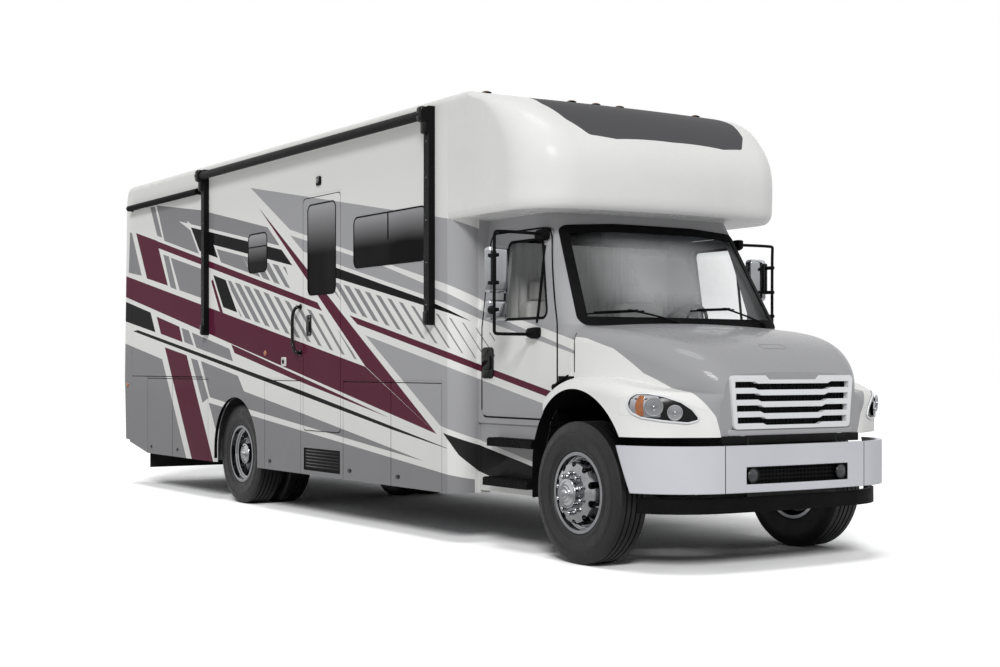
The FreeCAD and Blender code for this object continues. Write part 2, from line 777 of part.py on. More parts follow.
def fuel_tank():
    """Rounded tank on the driver's side under the cab, hung from the rail by two straps."""
    back = behind(TANK_BACK)
    points = [(TANK_IN, TANK_LOW), (TANK_OUT, TANK_LOW), (TANK_OUT, TANK_HIGH), (TANK_IN, TANK_HIGH)]
    pieces = [prism_x(points, back, back + TANK_LENGTH, TANK_CORNER)]
    for x in (back + 2 * STRAP_WIDTH, back + TANK_LENGTH - 3 * STRAP_WIDTH):
        pieces.append(block(x, x + STRAP_WIDTH, RAIL_HALF, TANK_IN + TANK_CORNER,
                            TANK_HIGH - STRAP, TANK_HIGH))
        pieces.append(block(x, x + STRAP_WIDTH, RAIL_HALF, TANK_IN + STRAP,
                            TANK_LOW + TANK_CORNER, TANK_HIGH))
    return fused(pieces)


# Wheels

def tyre(y, radial_gap=RUNNING_GAP):
    """A tyre standing at Y, as a turned solid about its own axle line."""
    half = TYRE_WIDTH / 2
    bead = RIM_WIDTH / 2 - RIM_THICK - RUNNING_GAP
    bore = RIM_SEAT_RADIUS + radial_gap
    tread = TYRE_RADIUS
    crown = half - TYRE_SHOULDER
    start = V(0, -bead, bore)
    shape = [Part.LineSegment(start, V(0, bead, bore)),
             Part.LineSegment(V(0, bead, bore), V(0, bead, RIM_FLANGE_RADIUS)),
             Part.Arc(V(0, bead, RIM_FLANGE_RADIUS),
                      V(0, half, (bore + tread) / 2),
                      V(0, crown, tread)),
             Part.LineSegment(V(0, crown, tread), V(0, -crown, tread)),
             Part.Arc(V(0, -crown, tread), V(0, -half, (bore + tread) / 2),
                      V(0, -bead, RIM_FLANGE_RADIUS)),
             Part.LineSegment(V(0, -bead, RIM_FLANGE_RADIUS), start)]
    wire = Part.Wire([edge.toShape() for edge in shape])
    solid = Part.Face(wire).revolve(V(0, 0, 0), V(0, 1, 0), 360)
    solid.translate(V(0, y, 0))
    return solid


def rim(dish):
    """A rim about the Y axis. Its disc stands out to the kerb side by the dish."""
    half = RIM_WIDTH / 2
    seat = RIM_SEAT_RADIUS
    deep = RIM_WELL_RADIUS
    lip = RIM_THICK
    outer = [(-half, RIM_FLANGE_RADIUS), (-half + lip, RIM_FLANGE_RADIUS), (-half + lip, seat),
             (-half + 4 * lip, seat), (-half + 5 * lip, deep), (half - 5 * lip, deep),
             (half - 4 * lip, seat), (half - lip, seat), (half - lip, RIM_FLANGE_RADIUS),
             (half, RIM_FLANGE_RADIUS)]
    inner = [(half, seat - lip), (half - 4 * lip, seat - lip), (half - 6 * lip, deep - lip),
             (6 * lip - half, deep - lip), (4 * lip - half, seat - lip), (-half, seat - lip)]
    pieces = [turned(outer + inner, 0)]
    # The disc bells out from the well to the flat face that bolts to the hub
    root = -2 * lip if dish < 0 else 2 * lip
    face = dish
    bell = [(root, deep), (root, deep - lip), (face * 0.8, HAND_HOLE_CIRCLE - 2 * lip),
            (face - root / 2, HUB_RADIUS + 3 * lip), (face - root / 2, 0), (face, 0),
            (face, HUB_RADIUS + 4 * lip), (face * 0.8 + root / 2, HAND_HOLE_CIRCLE),
            (root * 2, deep)]
    pieces.append(turned(bell, 0))
    whole = fused(pieces)
    cuts = []
    for i in range(HAND_HOLES):
        angle = 2 * math.pi * (i + 0.5) / HAND_HOLES
        x = HAND_HOLE_CIRCLE * math.cos(angle)
        z = HAND_HOLE_CIRCLE * math.sin(angle)
        cuts.append(rod(V(x, -RIM_OUTSET - OVERRUN, z), V(x, RIM_OUTSET + OVERRUN, z),
                        HAND_HOLE_RADIUS))
    return whole.cut(cuts)


def turned(profile, y):
    """A solid turned about the Y axis from points of Y and radius."""
    points = [V(0, y + a, r) for a, r in profile]
    wire = Part.makePolygon(points + points[:1])
    return Part.Face(wire).revolve(V(0, 0, 0), V(0, 1, 0), 360)


def at(shape, x, y, z):
    shape.translate(V(x, y, z))
    return shape


def front_wheel_rim():
    """Kerb front rim with hub and hub cover, bored for the stub axle."""
    whole = rim(-RIM_OUTSET)
    hub_in = KINGPIN_Y + KNUCKLE_EAR + KNUCKLE_THICK + 4 * RUNNING_GAP
    inner = FRONT_WHEEL_Y - hub_in
    hub = rod(V(0, inner, 0), V(0, -RIM_OUTSET - HUB_COVER, 0), HUB_RADIUS)
    stub_end = inner - SPINDLE_REACH - RUNNING_GAP
    bore = rod(V(0, inner + OVERRUN, 0), V(0, stub_end, 0), SPINDLE_RADIUS + RUNNING_GAP)
    return at(whole.fuse(hub).cut(bore).removeSplitter(), AXLE_X, -FRONT_WHEEL_Y, TYRE_RADIUS)


def rear_wheel_rims():
    """Kerb twin rims bolted face to face on one hub."""
    outer = at(rim(RIM_OUTSET), 0, -TWIN_SPACING / 2, 0)
    inner = at(rim(-RIM_OUTSET), 0, TWIN_SPACING / 2, 0)
    hub = rod(V(0, RIM_WIDTH / 2, 0), V(0, -TWIN_SPACING / 2 - RIM_WIDTH / 3, 0), HUB_RADIUS)
    middle = REAR_WHEEL_Y - TWIN_SPACING / 2
    tip = REAR_WHEEL_Y - RIM_OUTSET
    bore = rod(V(0, RIM_WIDTH, 0), V(0, middle - tip - RUNNING_GAP, 0), SPINDLE_RADIUS + RUNNING_GAP)
    whole = fused([outer, inner, hub]).cut(bore)
    return at(whole, REAR_AXLE_X, -middle, TYRE_RADIUS)


def wheels():
    front = at(tyre(0), AXLE_X, -FRONT_WHEEL_Y, TYRE_RADIUS)
    twins = Part.makeCompound([
        at(tyre(0), REAR_AXLE_X, -REAR_WHEEL_Y, TYRE_RADIUS),
        at(tyre(0), REAR_AXLE_X, TWIN_SPACING - REAR_WHEEL_Y, TYRE_RADIUS)])
    for name, shape in (("front_tyre", front), ("front_rim", front_wheel_rim()),
                        ("rear_tyres", twins), ("rear_rims", rear_wheel_rims()),
                        ("knuckle", knuckle())):
        save(name + "_kerb", shape)
        save(name + "_driver", mirrored(shape))


# Coach body

def bay_table():
    """Front, back and sides of each baggage door."""
    return [("baggage_door_1", BAY_1_FRONT, BAY_2_FRONT, (-1, 1)),
            ("baggage_door_2", BAY_2_FRONT, BAY_2_BACK, (-1, 1)),
            ("baggage_door_3", BAY_3_FRONT, BAY_3_BACK, (-1,)),
            ("baggage_door_4", BAY_4_FRONT, BAY_5_FRONT, (-1,)),
            ("baggage_door_5", BAY_5_FRONT, BAY_5_BACK, (-1,))]


def side_wall(side):
    """The flat side panel from the skirt up to the roof, with the wheel arch cut out."""
    top = ROOF_HEIGHT - ROOF_EDGE_RADIUS
    points = [(REAR_WALL_X, SKIRT_HEIGHT + skirt_rise(REAR_WALL_X)),
              (behind(BAY_5_BACK), SKIRT_HEIGHT), (COACH_X, SKIRT_HEIGHT), (COACH_X, top),
              (REAR_WALL_X, top)]
    wall = prism_y(points, side * INSIDE, side * SIDE)
    y0 = side * (INSIDE - OVERRUN)
    y1 = side * (SIDE + OVERRUN)
    corner = block(REAR_X, REAR_X + REAR_TOP_RUN, y0, y1, FLOOR_TOP, ROOF_HEIGHT)
    centre = V(REAR_AXLE_X + ARCH_SHIFT, y0, ARCH_TOP - ARCH_HALF)
    wall = wall.cut(corner.cut(rear_body(0, 2 * OVERRUN)))
    wall = wall.cut(rod(centre, V(centre.x, y1, centre.z), ARCH_HALF))
    return wall.cut(block(centre.x - ARCH_HALF, centre.x + ARCH_HALF, y0, y1,
                          SKIRT_HEIGHT - OVERRUN, centre.z))


def skirt_rise(x):
    """How far the skirt has risen at X, behind the last baggage door."""
    start = behind(BAY_5_BACK)
    if x >= start:
        return 0
    return SKIRT_RISE * (start - x) / SKIRT_RISE_START


def through(side, x0, x1, z0, z1, radius, grow=0):
    """A cutter through a side wall."""
    return pane_y(x0, x1, z0, z1, side * (INSIDE - OVERRUN), side * (SIDE + OVERRUN), radius, grow)


def bay_cut(side, front, back):
    half = DOOR_GAP / 2
    return block(behind(back) - half, behind(front) + half, side * (INSIDE - OVERRUN),
                 side * (SIDE + OVERRUN), BAY_LOW - OVERRUN, BAY_HIGH + DOOR_GAP)


def hinge_pin(x, y, low, high):
    return rod(V(x, y, low), V(x, y, high), HINGE_PIN_RADIUS)


def hinge_spot(side, front):
    """The pin of a door that is hung at its front edge."""
    x = behind(front) - DOOR_GAP / 2 - HINGE_INSET
    return x, side * (SIDE - HINGE_INSET)


def pin_hole(x, y, z):
    """A blind hole above a door for the end of its pin."""
    return rod(V(x, y, z - OVERRUN), V(x, y, z + HINGE_PIN_LENGTH + DOOR_GAP + RUNNING_GAP),
               HINGE_PIN_RADIUS + RUNNING_GAP)


def wall_windows(side):
    """Fixed windows of one side: front, back, low and high."""
    if side < 0:
        return [(DINETTE_FRONT, DINETTE_BACK, DINETTE_LOW, DINETTE_HIGH),
                (GALLEY_FRONT, GALLEY_BACK, GALLEY_LOW, GALLEY_HIGH)]
    middle = (DRIVER_SLIDE_BACK + KERB_SLIDE_BACK) / 2
    half = (DINETTE_BACK - DINETTE_FRONT) / 3
    return [(middle - half, middle + half, DINETTE_LOW, DINETTE_HIGH)]


def coach_wall(side):
    wall = side_wall(side)
    cuts = []
    for name, front, back, sides in bay_table():
        if side in sides:
            cuts.append(bay_cut(side, front, back))
            x, y = hinge_spot(side, front)
            cuts.append(pin_hole(x, y, BAY_HIGH))
    slide_front = KERB_SLIDE_FRONT if side < 0 else DRIVER_SLIDE_FRONT
    slide_back = KERB_SLIDE_BACK if side < 0 else DRIVER_SLIDE_BACK
    cuts.append(through(side, behind(slide_back), behind(slide_front), SLIDE_LOW, SLIDE_HIGH, 0,
                        DOOR_GAP))
    for front, back, low, high in wall_windows(side):
        cuts.append(through(side, behind(back), behind(front), low, high, WINDOW_CORNER, GLASS_GAP))
    if side < 0:
        cuts.append(through(side, behind(ENTRY_BACK), behind(ENTRY_FRONT), ENTRY_LOW, ENTRY_HIGH,
                            ENTRY_CORNER - 2 * DOOR_GAP, DOOR_GAP))
        x, y = hinge_spot(side, ENTRY_FRONT - DOOR_GAP / 2)
        cuts.append(pin_hole(x, y, ENTRY_HIGH))
        cuts.append(through(side, behind(ENTRY_BACK), behind(ENTRY_FRONT), STEP_BOX_LOW,
                            STEP_BOX_HIGH, 0, 0))
    return wall.cut(cuts)


def baggage_doors():
    half = DOOR_GAP / 2
    for name, front, back, sides in bay_table():
        for side in sides:
            door = block(behind(back) + half, behind(front) - half, side * (INSIDE + DOOR_RELIEF),
                         side * SIDE, BAY_LOW, BAY_HIGH)
            x, y = hinge_spot(side, front)
            pin = hinge_pin(x, y, BAY_HIGH - HINGE_PIN_LENGTH, BAY_HIGH + HINGE_PIN_LENGTH + DOOR_GAP)
            save(name + ("_kerb" if side < 0 else "_driver"), door.fuse(pin).removeSplitter())


def entry_door():
    y0 = -SIDE
    y1 = -INSIDE
    door = pane_y(behind(ENTRY_BACK), behind(ENTRY_FRONT), ENTRY_LOW, ENTRY_HIGH, y0, y1, ENTRY_CORNER)
    window = (behind(ENTRY_WINDOW_BACK), behind(ENTRY_WINDOW_FRONT), ENTRY_WINDOW_LOW,
              ENTRY_WINDOW_HIGH)
    door = door.cut(pane_y(*window, y0 - OVERRUN, y1 + OVERRUN, WINDOW_CORNER, GLASS_GAP))
    x, y = hinge_spot(-1, ENTRY_FRONT - DOOR_GAP / 2)
    pin = hinge_pin(x, y, ENTRY_HIGH - ENTRY_CORNER, ENTRY_HIGH + HINGE_PIN_LENGTH + DOOR_GAP)
    save("entry_door", door.fuse(pin).removeSplitter())
    save("entry_glass", pane_y(*window, y0, y0 + GLASS_THICK, WINDOW_CORNER))


def entry_step():
    """A pull-out step that stows in the box under the entry door."""
    x0 = behind(ENTRY_BACK) + DOOR_GAP
    x1 = behind(ENTRY_FRONT) - DOOR_GAP
    low = STEP_BOX_LOW + DOOR_GAP
    tread = block(x0, x1, -SIDE + DOOR_GAP, -SIDE + STEP_DEPTH, low, low + STEP_PLATE)
    face = block(x0, x1, -SIDE + DOOR_GAP, -SIDE + DOOR_GAP + STEP_PLATE, low,
                 STEP_BOX_HIGH - DOOR_GAP)
    return fused([tread, face])


def baggage_trays():
    """Open bays behind the baggage doors: floor, back wall and end walls, and the step box."""
    pieces = []
    ends = [(BAY_1_FRONT, BAY_2_BACK), (BAY_3_FRONT, BAY_3_BACK), (BAY_4_FRONT, BAY_5_BACK)]
    depth = INSIDE - BAY_DEPTH
    low = BAY_LOW + DOOR_GAP
    for side in (-1, 1):
        for front, back in ends:
            x0 = behind(back) - TRAY_THICK
            x1 = behind(front) + TRAY_THICK
            bay = block(x0, x1, side * depth, side * INSIDE, low, FLOOR_LOW)
            hollow = block(x0 + TRAY_THICK, x1 - TRAY_THICK, side * (depth + TRAY_THICK),
                           side * (INSIDE + OVERRUN), low + TRAY_THICK, FLOOR_LOW + OVERRUN)
            pieces.append(bay.cut(hollow))
    x0 = behind(ENTRY_BACK) - TRAY_THICK
    x1 = behind(ENTRY_FRONT) + TRAY_THICK
    box = block(x0, x1, -INSIDE + STEP_DEPTH, -INSIDE, STEP_BOX_LOW, STEP_BOX_HIGH + TRAY_THICK)
    box = box.cut(block(x0 + TRAY_THICK, x1 - TRAY_THICK, -INSIDE + STEP_DEPTH - TRAY_THICK,
                        -INSIDE - OVERRUN, STEP_BOX_LOW + DOOR_GAP - RUNNING_GAP, STEP_BOX_HIGH))
    pieces.append(box)
    return Part.makeCompound(pieces)


def coach_floor():
    """The floor with runners for the slide-outs and the stairwell inside the entry door."""
    deck = block(REAR_X + 2 * WALL, COACH_X, -INSIDE, INSIDE, FLOOR_LOW, FLOOR_TOP)
    x0 = behind(ENTRY_BACK)
    x1 = behind(ENTRY_FRONT)
    depth = INSIDE - BAY_DEPTH + TRAY_THICK
    low = ENTRY_LOW - DOOR_GAP
    deck = deck.cut(block(x0, x1, -INSIDE, -depth, FLOOR_LOW, FLOOR_TOP))
    well = block(x0 - TRAY_THICK, x1 + TRAY_THICK, -INSIDE, -depth + TRAY_THICK, low - TRAY_THICK,
                 FLOOR_LOW)
    well = well.cut(block(x0, x1, -INSIDE, -depth, low, FLOOR_LOW))
    rise = (FLOOR_TOP - ENTRY_LOW) / 2
    tread = block(x0, x1, -depth - BAY_DEPTH / 2, -depth, low, ENTRY_LOW + rise)
    pieces = [deck, well, tread]
    for side, front, back in ((-1, KERB_SLIDE_FRONT, KERB_SLIDE_BACK),
                              (1, DRIVER_SLIDE_FRONT, DRIVER_SLIDE_BACK)):
        length = back - front
        for share in SLIDE_RUNNER_SHARES:
            x = behind(back) + length * share
            pieces.append(block(x, x + SLIDE_PANEL, side * (SIDE - SLIDE_DEPTH), side * INSIDE,
                                FLOOR_TOP, SLIDE_LOW - RUNNING_GAP))
    return fused(pieces)


def roof_solid(x0, x1, inset, low):
    """The roof's body between two places, from a height up to the crown."""
    wire = crowned_wire(x0, SIDE - inset, low, ROOF_HEIGHT + ROOF_CROWN - inset,
                        ROOF_EDGE_RADIUS - inset, ROOF_CROWN)
    return slab(wire, V(x1 - x0, 0, 0))


def rear_body(inset, widen=0):
    """A solid of the rear end, cut to its rounded roof line and leaning back."""
    top = ROOF_HEIGHT + ROOF_CROWN - inset
    x_end = REAR_X + inset
    shoulder = ROOF_HEIGHT - REAR_TOP_DROP
    low = SKIRT_HEIGHT + skirt_rise(REAR_X)
    front = REAR_X + REAR_TOP_RUN
    foot = SKIRT_HEIGHT + skirt_rise(REAR_WALL_X)
    eave = ROOF_HEIGHT + ROOF_CROWN - inset
    bend = Part.Arc(V(x_end + 2 * REAR_LEAN, 0, shoulder),
                    V(x_end + REAR_WRAP - inset * REAR_BEND_SHARE, 0, eave - REAR_TOP_DROP / 4),
                    V(front, 0, top)).toShape()
    corners = [V(x_end + REAR_LEAN, 0, low), V(x_end, 0, FLOOR_TOP),
               V(x_end + 2 * REAR_LEAN, 0, shoulder)]
    edges = [Part.LineSegment(corners[0], corners[1]).toShape(),
             Part.LineSegment(corners[1], corners[2]).toShape(), bend,
             Part.LineSegment(V(front, 0, top), V(front, 0, foot)).toShape(),
             Part.LineSegment(V(front, 0, foot), corners[0]).toShape()]
    half = SIDE - inset + widen
    solid = slab(Part.Wire(edges), V(0, 2 * half, 0))
    solid.translate(V(0, -half, 0))
    if widen:
        return solid
    return solid.common(roof_solid(REAR_X, front, inset, SKIRT_HEIGHT))


def rear_cap():
    """The rear wall that wraps the corners and turns over into the roof."""
    front = REAR_X + REAR_TOP_RUN
    hollow = rear_body(WALL)
    mouth = hollow.copy()
    mouth.translate(V(0, 0, -WALL))
    cap = rear_body(0).cut(hollow).cut(mouth)
    eaves = ROOF_HEIGHT - ROOF_EDGE_RADIUS
    for side in (-1, 1):
        cap = cap.cut(block(REAR_WALL_X, front + OVERRUN, side * INSIDE, side * (SIDE + OVERRUN),
                            SKIRT_HEIGHT - OVERRUN, eaves))
    window = [(-REAR_WINDOW_HALF, REAR_WINDOW_LOW), (REAR_WINDOW_HALF, REAR_WINDOW_LOW),
              (REAR_WINDOW_HALF, REAR_WINDOW_HIGH), (-REAR_WINDOW_HALF, REAR_WINDOW_HIGH)]
    cut = prism_x(window, REAR_X - OVERRUN, REAR_WALL_X, WINDOW_CORNER)
    return biggest(cap.cut(cut))


def biggest(shape):
    """The main solid of a cut shape, without the crumbs beside it."""
    return max(shape.Solids, key=lambda solid: solid.Volume)


def rear_glass():
    window = [(-REAR_WINDOW_HALF + GLASS_GAP, REAR_WINDOW_LOW + GLASS_GAP),
              (REAR_WINDOW_HALF - GLASS_GAP, REAR_WINDOW_LOW + GLASS_GAP),
              (REAR_WINDOW_HALF - GLASS_GAP, REAR_WINDOW_HIGH - GLASS_GAP),
              (-REAR_WINDOW_HALF + GLASS_GAP, REAR_WINDOW_HIGH - GLASS_GAP)]
    cut = prism_x(window, REAR_X - OVERRUN, REAR_WALL_X, WINDOW_CORNER - GLASS_GAP)
    return rear_body(0).cut(rear_body(GLASS_THICK)).common(cut)


def roof_shell():
    """The roof from the rear cap to the overhead cap, with its turned edges."""
    start = REAR_X + REAR_TOP_RUN
    eaves = ROOF_HEIGHT - ROOF_EDGE_RADIUS
    outer = roof_solid(start, COACH_X, 0, eaves)
    inner = roof_solid(start - OVERRUN, COACH_X + OVERRUN, WALL, eaves - OVERRUN)
    return outer.cut(inner)


def front_corners():
    """The moulded corners where the coach walls turn in to the cab."""
    x0 = COACH_X
    x1 = behind(CAB_BACK)
    low = SKIRT_HEIGHT
    y0 = -SIDE
    y1 = -CAB_HALF
    edges = [Part.LineSegment(V(x0, y0, low), V(x0, y0 + WALL, low)),
             Part.LineSegment(V(x0, y0 + WALL, low), V(x0, -PASSAGE_HALF, low)),
             Part.LineSegment(V(x0, -PASSAGE_HALF, low), V(x1, -PASSAGE_HALF, low)),
             Part.LineSegment(V(x1, -PASSAGE_HALF, low), V(x1, y1, low)),
             Part.Arc(V(x1, y1, low), V((x0 + 3 * x1) / 4, (3 * y0 + y1) / 4, low), V(x0, y0, low))]
    wire = Part.Wire([edge.toShape() for edge in edges])
    corner = slab(wire, V(0, 0, CAP_LOW - low))
    return both(corner)


# Overhead cap

def cap_loft(inset):
    """The cap's body, drawn in by a wall."""
    wires = []
    reach_all = CAP_FRONT_X - COACH_X
    rise_all = ROOF_HEIGHT + ROOF_CROWN + inset - CAP_LOW - 2 * inset
    for height, reach, width in CAP_SHARES:
        z = CAP_LOW + inset + rise_all * height
        front = COACH_X + reach_all * reach - inset
        wires.append(plan_wire(COACH_X, front, SIDE * width - inset, z,
                               CAP_CORNER * reach - inset, CAP_BOW * reach))
    roof = roof_solid(COACH_X, CAP_FRONT_X + OVERRUN, inset, CAP_LOW - OVERRUN)
    return biggest(loft(wires).common(roof))


def overhead_cap():
    shell = cap_loft(0).cut(cap_loft(CAP_WALL))
    shell = shell.cut(cap_glass_cut(0))
    return biggest(shell)


def cap_glass_cut(shrink):
    """The prism that cuts the cap's roof glass, drawn in by a gap."""
    reach_all = CAP_FRONT_X - COACH_X
    points = []
    for reach, side in CAP_GLASS_SHARES:
        scale = 1 - shrink / SIDE
        points.append((COACH_X + reach_all * reach - math.copysign(shrink, reach - CAP_GLASS_MID_SHARE),
                       SIDE * side * scale))
    return prism_z(points, CAP_LOW + (ROOF_HEIGHT - CAP_LOW) / 3, ROOF_HEIGHT + 2 * OVERRUN,
                   WINDOW_CORNER)


def cap_glass():
    outer = cap_loft(0)
    inner = cap_loft(GLASS_THICK)
    return biggest(outer.cut(inner).common(cap_glass_cut(GLASS_GAP)))


def coach_windows():
    panes = []
    for side in (-1, 1):
        for front, back, low, high in wall_windows(side):
            panes.append(pane_y(behind(back), behind(front), low, high, side * (SIDE - GLASS_THICK),
                                side * SIDE, WINDOW_CORNER))
    panes += [rear_glass(), cap_glass()]
    return Part.makeCompound(panes)


# Slide-outs

def slide_out(side, front, back):
    """A hollow box, open to the inside, that fills its opening in the wall."""
    x0 = behind(back)
    x1 = behind(front)
    outer = block(x0, x1, side * SIDE, side * (SIDE - SLIDE_DEPTH), SLIDE_LOW, SLIDE_HIGH)
    hollow = block(x0 + SLIDE_PANEL, x1 - SLIDE_PANEL, side * (SIDE - SLIDE_PANEL),
                   side * (SIDE - SLIDE_DEPTH - OVERRUN), SLIDE_LOW + SLIDE_PANEL,
                   SLIDE_HIGH - SLIDE_PANEL)
    shell = outer.cut(hollow)
    if side > 0:
        for x in slide_window_starts():
            shell = shell.cut(pane_y(x, x + SLIDE_WINDOW_LENGTH, SLIDE_WINDOW_LOW, SLIDE_WINDOW_HIGH,
                                     side * (INSIDE - OVERRUN), side * (SIDE + OVERRUN),
                                     WINDOW_CORNER, GLASS_GAP))
    y = side * (SIDE + TOPPER_Y)
    roller = rod(V(x0 + TOPPER_END, y, TOPPER_Z), V(x1 - TOPPER_END, y, TOPPER_Z), TOPPER_RADIUS)
    heads = [roller]
    for x in (x0 + TOPPER_END, x1 - 2 * TOPPER_END):
        heads.append(block(x, x + TOPPER_END, side * SIDE, y, TOPPER_Z - TOPPER_RADIUS,
                           TOPPER_Z + TOPPER_RADIUS / 2))
    return fused([shell] + heads)


def slide_window_starts():
    x0 = behind(DRIVER_SLIDE_BACK)
    x1 = behind(DRIVER_SLIDE_FRONT)
    return [x0 + SLIDE_WINDOW_INSET, x1 - SLIDE_WINDOW_INSET - SLIDE_WINDOW_LENGTH]


def slide_windows():
    panes = []
    for x in slide_window_starts():
        panes.append(pane_y(x, x + SLIDE_WINDOW_LENGTH, SLIDE_WINDOW_LOW, SLIDE_WINDOW_HIGH,
                            SIDE - GLASS_THICK, SIDE, WINDOW_CORNER))
    return Part.makeCompound(panes)


# Cab

def cab_upper(inset):
    """The glasshouse from just under the belt up to the cab roof."""
    back = behind(CAB_BACK)
    wires = []
    bottom = BELT_HEIGHT - COWL_DEPTH + inset
    top = CAB_TOP - inset
    for z, share in ((bottom, 0), (BELT_HEIGHT, 0), (top, 1)):
        half = CAB_HALF + (CAB_TOP_HALF - CAB_HALF) * share - inset
        nose = CAB_NOSE_LOW + (CAB_NOSE_HIGH - CAB_NOSE_LOW) * share
        wires.append(plan_wire(back, behind(nose) - inset, half, z, CAB_CORNER - inset, CAB_BOW))
    return loft(wires, True)


def cab_lower(inset):
    """The lower cab: floor, sides and firewall, stepped up over the wheel house."""
    low = CAB_FLOOR + inset
    top = BELT_HEIGHT - COWL_DEPTH + (inset if not inset else OVERRUN)
    front = behind(FIREWALL) - inset
    step = behind(DOOR_FRONT) - inset
    house = WHEEL_HOUSE_TOP + inset
    half = CAB_HALF - inset
    points = [(behind(CAB_BACK), low), (step, low), (step, house), (front, house), (front, top),
              (behind(CAB_BACK), top)]
    return prism_y(points, -half, half)


def cab_outer():
    return cab_upper(0).fuse(cab_lower(0)).removeSplitter()


def cab_skin(inset):
    """The cab's outside skin down to a depth."""
    shell = cab_upper(0).cut(cab_upper(inset)).cut(cab_lower(inset))
    lower = cab_lower(0).cut(cab_lower(inset)).cut(cab_upper(inset))
    return shell.fuse(lower)


def cab_pane():
    """The sheet that the cab's glass is cut from, a little under the outside skin."""
    return cab_upper(GLASS_SINK).cut(cab_upper(GLASS_SINK + GLASS_THICK))


def door_outline(grow):
    low = DOOR_LOW - grow
    high = DOOR_HIGH + grow
    front = behind(DOOR_FRONT) + grow
    back = behind(DOOR_BACK) - grow
    lean = DOOR_LEAN
    return [(back, low), (front, low), (front, BELT_HEIGHT), (front - lean, high), (back, high)]


def door_cutter(side, grow):
    """The prism of a cab door. Low down it only takes the outer skin."""
    near = side * (CAB_TOP_HALF - 3 * OVERRUN)
    far = side * (CAB_HALF + OVERRUN)
    whole = prism_y(door_outline(grow), near, far, DOOR_CORNER + grow)
    front = behind(DOOR_FRONT) + grow
    whole = whole.fuse(block(front - 2 * DOOR_CORNER, front, near, far, DOOR_LOW - grow,
                             DOOR_LOW + 2 * DOOR_CORNER)).removeSplitter()
    keep = CAB_HALF - CAB_SKIN - grow / 2
    return whole.cut(block(behind(CAB_BACK), behind(FIREWALL), 0, side * keep, CAB_FLOOR,
                           BELT_HEIGHT - COWL_DEPTH))


def door_glass_cutter(side, grow):
    points = [(behind(DOOR_GLASS_BACK_LOW) - grow, DOOR_GLASS_LOW - grow),
              (behind(DOOR_GLASS_FRONT_LOW) + grow, DOOR_GLASS_LOW - grow),
              (behind(DOOR_GLASS_FRONT_HIGH) + grow, DOOR_GLASS_HIGH + grow),
              (behind(DOOR_GLASS_BACK_HIGH) - grow, DOOR_GLASS_HIGH + grow)]
    return prism_y(points, side * (CAB_TOP_HALF - 3 * OVERRUN), side * (CAB_HALF + OVERRUN),
                   DOOR_CORNER + grow)


def shield_cutter(grow):
    points = [(-SHIELD_HALF_LOW - grow, SHIELD_LOW - grow), (SHIELD_HALF_LOW + grow, SHIELD_LOW - grow),
              (SHIELD_HALF_HIGH + grow, SHIELD_HIGH + grow),
              (-SHIELD_HALF_HIGH - grow, SHIELD_HIGH + grow)]
    return prism_x(points, behind(CAB_NOSE_HIGH + 2 * CAB_CORNER), AXLE_X, SHIELD_CORNER + grow)


def cab_hinge(side):
    """The pin line of a cab door, just inside its front lower corner."""
    return behind(DOOR_FRONT) - HINGE_INSET, side * (CAB_HALF - HINGE_INSET)


def cab_shell(skin):
    cuts = [door_cutter(-1, DOOR_GAP), door_cutter(1, DOOR_GAP), shield_cutter(GLASS_GAP)]
    for side in (-1, 1):
        x, y = cab_hinge(side)
        cuts.append(rod(V(x, y, DOOR_LOW), V(x, y, DOOR_LOW - DOOR_GAP - HINGE_PIN_LENGTH - RUNNING_GAP),
                        HINGE_PIN_RADIUS + RUNNING_GAP))
    return biggest(skin.cut(cuts))


def cab_doors(skin, pane):
    door = biggest(skin.common(door_cutter(-1, 0)).cut(door_glass_cutter(-1, GLASS_GAP)))
    x, y = cab_hinge(-1)
    pin = rod(V(x, y, DOOR_LOW + HINGE_PIN_LENGTH), V(x, y, DOOR_LOW - DOOR_GAP - HINGE_PIN_LENGTH),
              HINGE_PIN_RADIUS)
    door = door.fuse(pin).removeSplitter()
    glass = biggest(pane.common(door_glass_cutter(-1, 0)))
    for name, shape in (("cab_door", door), ("cab_glass", glass), ("mirror", mirror())):
        save(name + "_kerb", shape)
        save(name + "_driver", mirrored(shape))


def mirror():
    """Kerb mirror: a tube loop on the door with a tall head and a round-cornered lower head."""
    x = behind(MIRROR_SETBACK)
    y = -MIRROR_Y
    root_high = V(x, -CAB_TOP_HALF - MIRROR_TUBE, MIRROR_ROOT_HIGH)
    root_low = V(x, -CAB_HALF, MIRROR_ROOT_LOW)
    high = V(x, y, MIRROR_HIGH)
    low = V(x, y, MIRROR_LOW)
    pieces = tube([root_low, low, high, root_high], MIRROR_TUBE)
    for bottom, top in ((MIRROR_HEAD_LOW, MIRROR_HEAD_HIGH), (SPOT_LOW, SPOT_HIGH)):
        points = [(y - MIRROR_TUBE, bottom), (y + 2 * MIRROR_HEAD_HALF - MIRROR_TUBE, bottom),
                  (y + 2 * MIRROR_HEAD_HALF - MIRROR_TUBE, top), (y - MIRROR_TUBE, top)]
        pieces.append(prism_x(points, x - MIRROR_TUBE, x - MIRROR_TUBE + MIRROR_HEAD_THICK,
                              3 * MIRROR_TUBE))
    return fused(pieces).cut(cab_upper(0))


